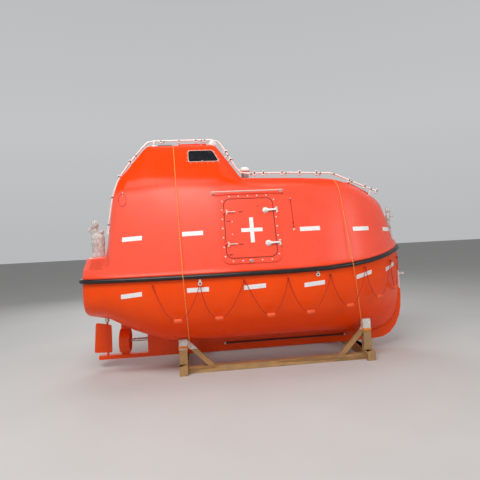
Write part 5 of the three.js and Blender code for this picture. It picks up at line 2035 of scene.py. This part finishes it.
def loop_route(centre: tuple[float, float], wide: float, high: float, gap: float = 8) -> tuple:
    """The (x, z) route of a closed loop from its eye and back.

    Args:
        centre: its middle.
        wide: half its width.
        high: half its height.
        gap: the degrees left open on each side of the eye.

    Returns:
        Its points.
    """
    x, z = centre
    turns = [math.radians(gap + (360 - 2 * gap) * i / 24) for i in range(25)]
    return tuple((x + wide * math.sin(a), z + high * math.cos(a)) for a in turns)


TETHER = HangingLine(
    name="tether_rope",
    node="tether_line",
    route=slack_route((0.498, 2.4095), 0.4375, 0.009),
    radius=0.004,
    knots=((0.4995, 2.402), (0.503, 2.068), (0.504, 2.008)),
    far_end="knot",
    thimble=True,
)
LINE_LOOP = HangingLine(
    name="loop_rope",
    node="line_loop",
    route=loop_route((-1.894, 2.497), 0.056, 0.091),
    radius=0.003,
    knots=((-1.894, 2.586),),
    far_end="object",
)


@dataclass
class Lashing:
    """A taut rope over the boat and down to both posts of one cradle frame."""

    name: str
    places: tuple[tuple[float, float], ...]
    anchor_y: float
    anchor_z: float
    post_x: float
    radius: float = 0.006
    skin: Skin = field(default_factory=lambda: Skin("canopy", "fender", "hull_shell", "keel"))

    def _x(self, z: float) -> float:
        """How far along the boat the rope is at a height."""
        heights, xs = zip(*sorted((h, x) for x, h in self.places), strict=True)
        return float(np.interp(z, heights, xs))

    def _half(self) -> np.ndarray:
        """The stretched rope on one side, from the crown to the anchor, as (y, z)."""
        found = [(self.anchor_y, self.anchor_z)]
        for z in np.arange(self.anchor_z + 0.02, self.places[0][1] + 0.3, 0.02):
            place, _, _, _ = self.skin.tree.ray_cast(Vector((self._x(z), -3, z)), Vector((0, 1, 0)))
            if place is not None and place.y < -0.02:
                found.append((-place.y, z))
        for y in np.arange(0, 0.8, 0.02):
            place, _ = self.skin.above(self._x(self.places[0][1]), -y)
            found.append((y, place.z))
        mirrored = [(-y, z) for y, z in found]
        hull = self._outline(np.array([*found, *mirrored]))
        right = [p for p in hull if p[0] >= -1e-6]
        right.sort(key=lambda p: -math.atan2(p[1] - 1.4, p[0]))
        return np.array([p for p in right if p[1] >= self.anchor_z - 1e-6])

    @staticmethod
    def _outline(points: np.ndarray) -> np.ndarray:
        """The convex outline of points in a plane."""
        ordered = sorted(map(tuple, points))
        chains = []
        for run in (ordered, ordered[::-1]):
            chain: list[tuple[float, float]] = []
            for p in run:
                while len(chain) > 1 and (chain[-1][0] - chain[-2][0]) * (p[1] - chain[-2][1]) <= (
                    chain[-1][1] - chain[-2][1]
                ) * (p[0] - chain[-2][0]):
                    chain.pop()
                chain.append(p)
            chains.append(chain[:-1])
        return np.array(chains[0] + chains[1])

    def build(self) -> None:
        """Makes the rope and its knots round the posts."""
        half = self._half()
        lift = self.radius * 0.85
        away = np.gradient(half, axis=0)
        away /= np.linalg.norm(away, axis=1)[:, None]
        outward = 1 if away[0, 0] > 0 else -1
        half = half + outward * lift * np.stack([-away[:, 1], away[:, 0]], axis=1)
        stbd = np.array([(self._x(z), -y, z) for y, z in half])
        port = stbd * (1, -1, 1)
        path = eased(evenly(np.concatenate([stbd[::-1], port]), 0.005), 10)
        publish(rope(f"lashing_{self.name}", path, self.radius, 0.05), "boat", "tan_rope")
        self._hitch(path)

    def _hitch(self, path: np.ndarray) -> None:
        """Turns of rope round each post where the lashing ends."""
        shape = Shape()
        half_x, half_y, pitch = 0.064, 0.051, 0.0125
        for side in Side:
            for k in range(3):
                x, y, z = self.post_x, side.value * 0.600, self.anchor_z - 0.004 + pitch * k
                loop = round_corners(x - half_x, x + half_x, y - half_y, y + half_y, 0.012)
                ring = np.array([(x, y, z + 0.002 * math.sin(3 * i)) for i, (x, y) in enumerate(loop)])
                closed = np.array([*ring, ring[0]])
                shape.tube(evenly(closed, 0.006), 0.0058, 8)
        publish(shape.build(f"hitches_{self.name}", 60), "boat", "tan_rope")


@dataclass
class Cradle:
    """The timber cradle: two cross frames with posts and struts, joined by skids."""

    frames: tuple[tuple[str, float, float], ...] = (("aft", -1.130, 0.480), ("fore", 1.602, 0.580))
    sleeve_high: float = 0.15

    def build(self) -> None:
        """Makes timbers, sleeves and nails."""
        for name, x, top in self.frames:
            node = f"cradle_{name}"
            dress(node, f"cross_frame_{name}", "beam_y", 0.004)
            self._sleeves(node, name, top)
            self._nails(name, x)
        for side in Side:
            node = f"cradle_skid_{side.tag}"
            dress(node, f"skid_{side.tag}", "skid_x", 0.005)

    def _sleeves(self, node: str, name: str, top: float) -> None:
        """Packing film round the tops of the posts."""
        mesh = frame["nodes"][node].data.copy()
        bm = bmesh.new()
        bm.from_mesh(mesh)
        bmesh.ops.remove_doubles(bm, verts=bm.verts, dist=1e-5)
        geometry = [*bm.verts, *bm.edges, *bm.faces]
        bmesh.ops.bisect_plane(
            bm, geom=geometry, plane_co=(0, 0, top - self.sleeve_high), plane_no=(0, 0, 1), clear_inner=True
        )
        bmesh.ops.subdivide_edges(bm, edges=bm.edges, cuts=5, use_grid_fill=True)
        bmesh.ops.triangulate(bm, faces=bm.faces)
        bm.normal_update()
        for v in bm.verts:
            wobble = 0.0012 * math.sin(90 * v.co.z + 60 * v.co.x) + 0.0012 * math.sin(130 * v.co.y)
            v.co += v.normal * (0.0030 + wobble)
        bm.to_mesh(mesh)
        bm.free()
        obj = link_mesh(f"post_sleeves_{name}", mesh, 50)
        wall = obj.modifiers.new("wall", "SOLIDIFY")
        wall.thickness = 0.0008
        wall.offset = -1
        publish(settle(obj), "boat", "sleeve")

    def _nails(self, name: str, x: float) -> None:
        """Nail heads where the timbers meet."""
        points, outs = [], []
        for side in Side:
            for dx in (-0.030, 0.030):
                for z in (0.045, 0.090, 0.160, 0.220):
                    points.append((x + dx, side.value * (0.7602 if z < 0.13 else 0.6452), z))
                    outs.append((0, side.value, 0))
        studded(f"nails_{name}", "boat", "zinc", points, outs, (0.0035, 0.0012))


@dataclass
class Studio:
    """A pale floor, soft light and the camera at the photograph's angle."""

    eye: Point = (-0.90, -6.79, 1.857)
    yaw: float = 6.3
    pitch: float = 3.51
    roll: float = 2.86
    lens: float = 31.5
    shift_y: float = -0.054
    surround: tuple[tuple[float, float], ...] = (
        (0.0, 0.50), (0.25, 0.56), (0.50, 0.52), (0.72, 0.22), (1.0, 0.14),
    )

    def build(self) -> None:
        """Makes floor, lights, world and camera."""
        mesh = bpy.data.meshes.new("studio_floor")
        size = 60.0
        corners = [(-size, -size, 0), (size, -size, 0), (size, size, 0), (-size, size, 0)]
        mesh.from_pydata(corners, [], [(0, 1, 2, 3)])
        floor = bpy.data.objects.new("studio_floor", mesh)
        bpy.context.scene.collection.objects.link(floor)
        mesh.materials.append(finish("floor"))
        self._world()
        self._display()
        self._area("key", (-3.0, -6.5, 8.8), (0, -0.4, 1.9), 6.5, 3.2, 760)
        self._area("fill", (7.5, -5.5, 4.4), (0.5, 0, 1.6), 4.0, 3.0, 120)
        self._area("back", (-2.0, 8.0, 5.5), (0, 0, 1.8), 7.0, 3.0, 260)
        self._area("top", (0, 0.5, 8.5), (0, 0, 2.0), 6.0, 4.0, 120)
        self._camera()

    def _world(self) -> None:
        """A surround that is pale to the sides and dim overhead, as in a hall."""
        world = bpy.data.worlds.new("surround")
        world.use_nodes = True
        tree = world.node_tree
        way = tree.nodes.new("ShaderNodeTexCoord")
        split = tree.nodes.new("ShaderNodeSeparateXYZ")
        ramp = tree.nodes.new("ShaderNodeValToRGB")
        while len(ramp.color_ramp.elements) < len(self.surround):
            ramp.color_ramp.elements.new(0.5)
        for element, (height, level) in zip(ramp.color_ramp.elements, self.surround, strict=True):
            element.position = height
            element.color = (0.97 * level, 0.985 * level, level, 1.0)
        tree.links.new(way.outputs["Generated"], split.inputs[0])
        tree.links.new(split.outputs[2], ramp.inputs[0])
        tree.links.new(ramp.outputs[0], tree.nodes["Background"].inputs[0])
        tree.nodes["Background"].inputs[1].default_value = 1.0
        bpy.context.scene.world = world

    @staticmethod
    def _display() -> None:
        """Shows colours as they are, without a film curve that pales the orange."""
        view = bpy.context.scene.view_settings
        view.view_transform = "Standard"
        view.look = "None"
        view.exposure = 0.0
        view.gamma = 1.0

    @staticmethod
    def _area(name: str, place: Point, aim: Point, wide: float, high: float, watts: float) -> None:
        """A soft panel of light."""
        light = bpy.data.lights.new(name, "AREA")
        light.shape = "RECTANGLE"
        light.size, light.size_y, light.energy = wide, high, watts
        obj = bpy.data.objects.new(name, light)
        obj.location = place
        obj.rotation_mode = "QUATERNION"
        obj.rotation_quaternion = (Vector(aim) - Vector(place)).to_track_quat("-Z", "Y")
        bpy.context.scene.collection.objects.link(obj)

    def _camera(self) -> None:
        """The camera where the photographer stood."""
        data = bpy.data.cameras.new("camera")
        data.sensor_width = 36
        data.lens = self.lens
        data.shift_y = self.shift_y
        camera = bpy.data.objects.new("camera", data)
        bpy.context.scene.collection.objects.link(camera)
        yaw, pitch = math.radians(self.yaw), math.radians(self.pitch)
        ahead = Vector((math.sin(yaw) * math.cos(pitch), math.cos(yaw) * math.cos(pitch), math.sin(pitch)))
        turn = ahead.to_track_quat("-Z", "Y").to_matrix()
        turn = turn @ Matrix.Rotation(math.radians(-self.roll), 3, "Z")
        camera.matrix_world = Matrix.Translation(self.eye) @ turn.to_4x4()
        bpy.context.scene.camera = camera


def main() -> None:
    """Builds the boat's assemblies in order."""
    logging.basicConfig(level=logging.INFO, format="%(message)s")
    Studio().build()
    for side in Side:
        Lifeline(side).build()
    TETHER.build()
    LINE_LOOP.build()
    Shells().build()
    Fender().build()
    for side in Side:
        SideDoor(side).build()
    TowerWindows().build()
    hatches = (
        Hatch("fore", Panel((1.785, 0.020, 2.573), (0, 1, 0), (0.222, 0, 0.390)), 0.400, 0.400),
        Hatch("aft", Panel((-2.0895, 0.300, 2.206), (0, 1, 0), (-0.588, 0, 0.067)), 0.390, 0.470),
        Hatch("top", Panel((-0.875, 0.070, 3.372), (0, 1, 0), (0, 0, 1)), 0.420, 0.440),
    )
    for hatch in hatches:
        hatch.build()
    SprayPipe().build()
    DeckFittings().build()
    Drive().build()
    Cabin().build()
    KeelRails().build()
    cradle = Cradle()
    lashings = (
        ("aft", ((-1.168, 3.386), (-1.076, 1.405), (-1.030, 0.423)), 0.36, cradle.frames[0][1]),
        ("fore", ((1.290, 2.756), (1.312, 1.437), (1.525, 0.426)), 0.42, cradle.frames[1][1]),
    )
    for name, places, anchor_z, post_x in lashings:
        Lashing(name, places, 0.655, anchor_z, post_x).build()
    cradle.build()


if __name__ == "__main__":
    main()
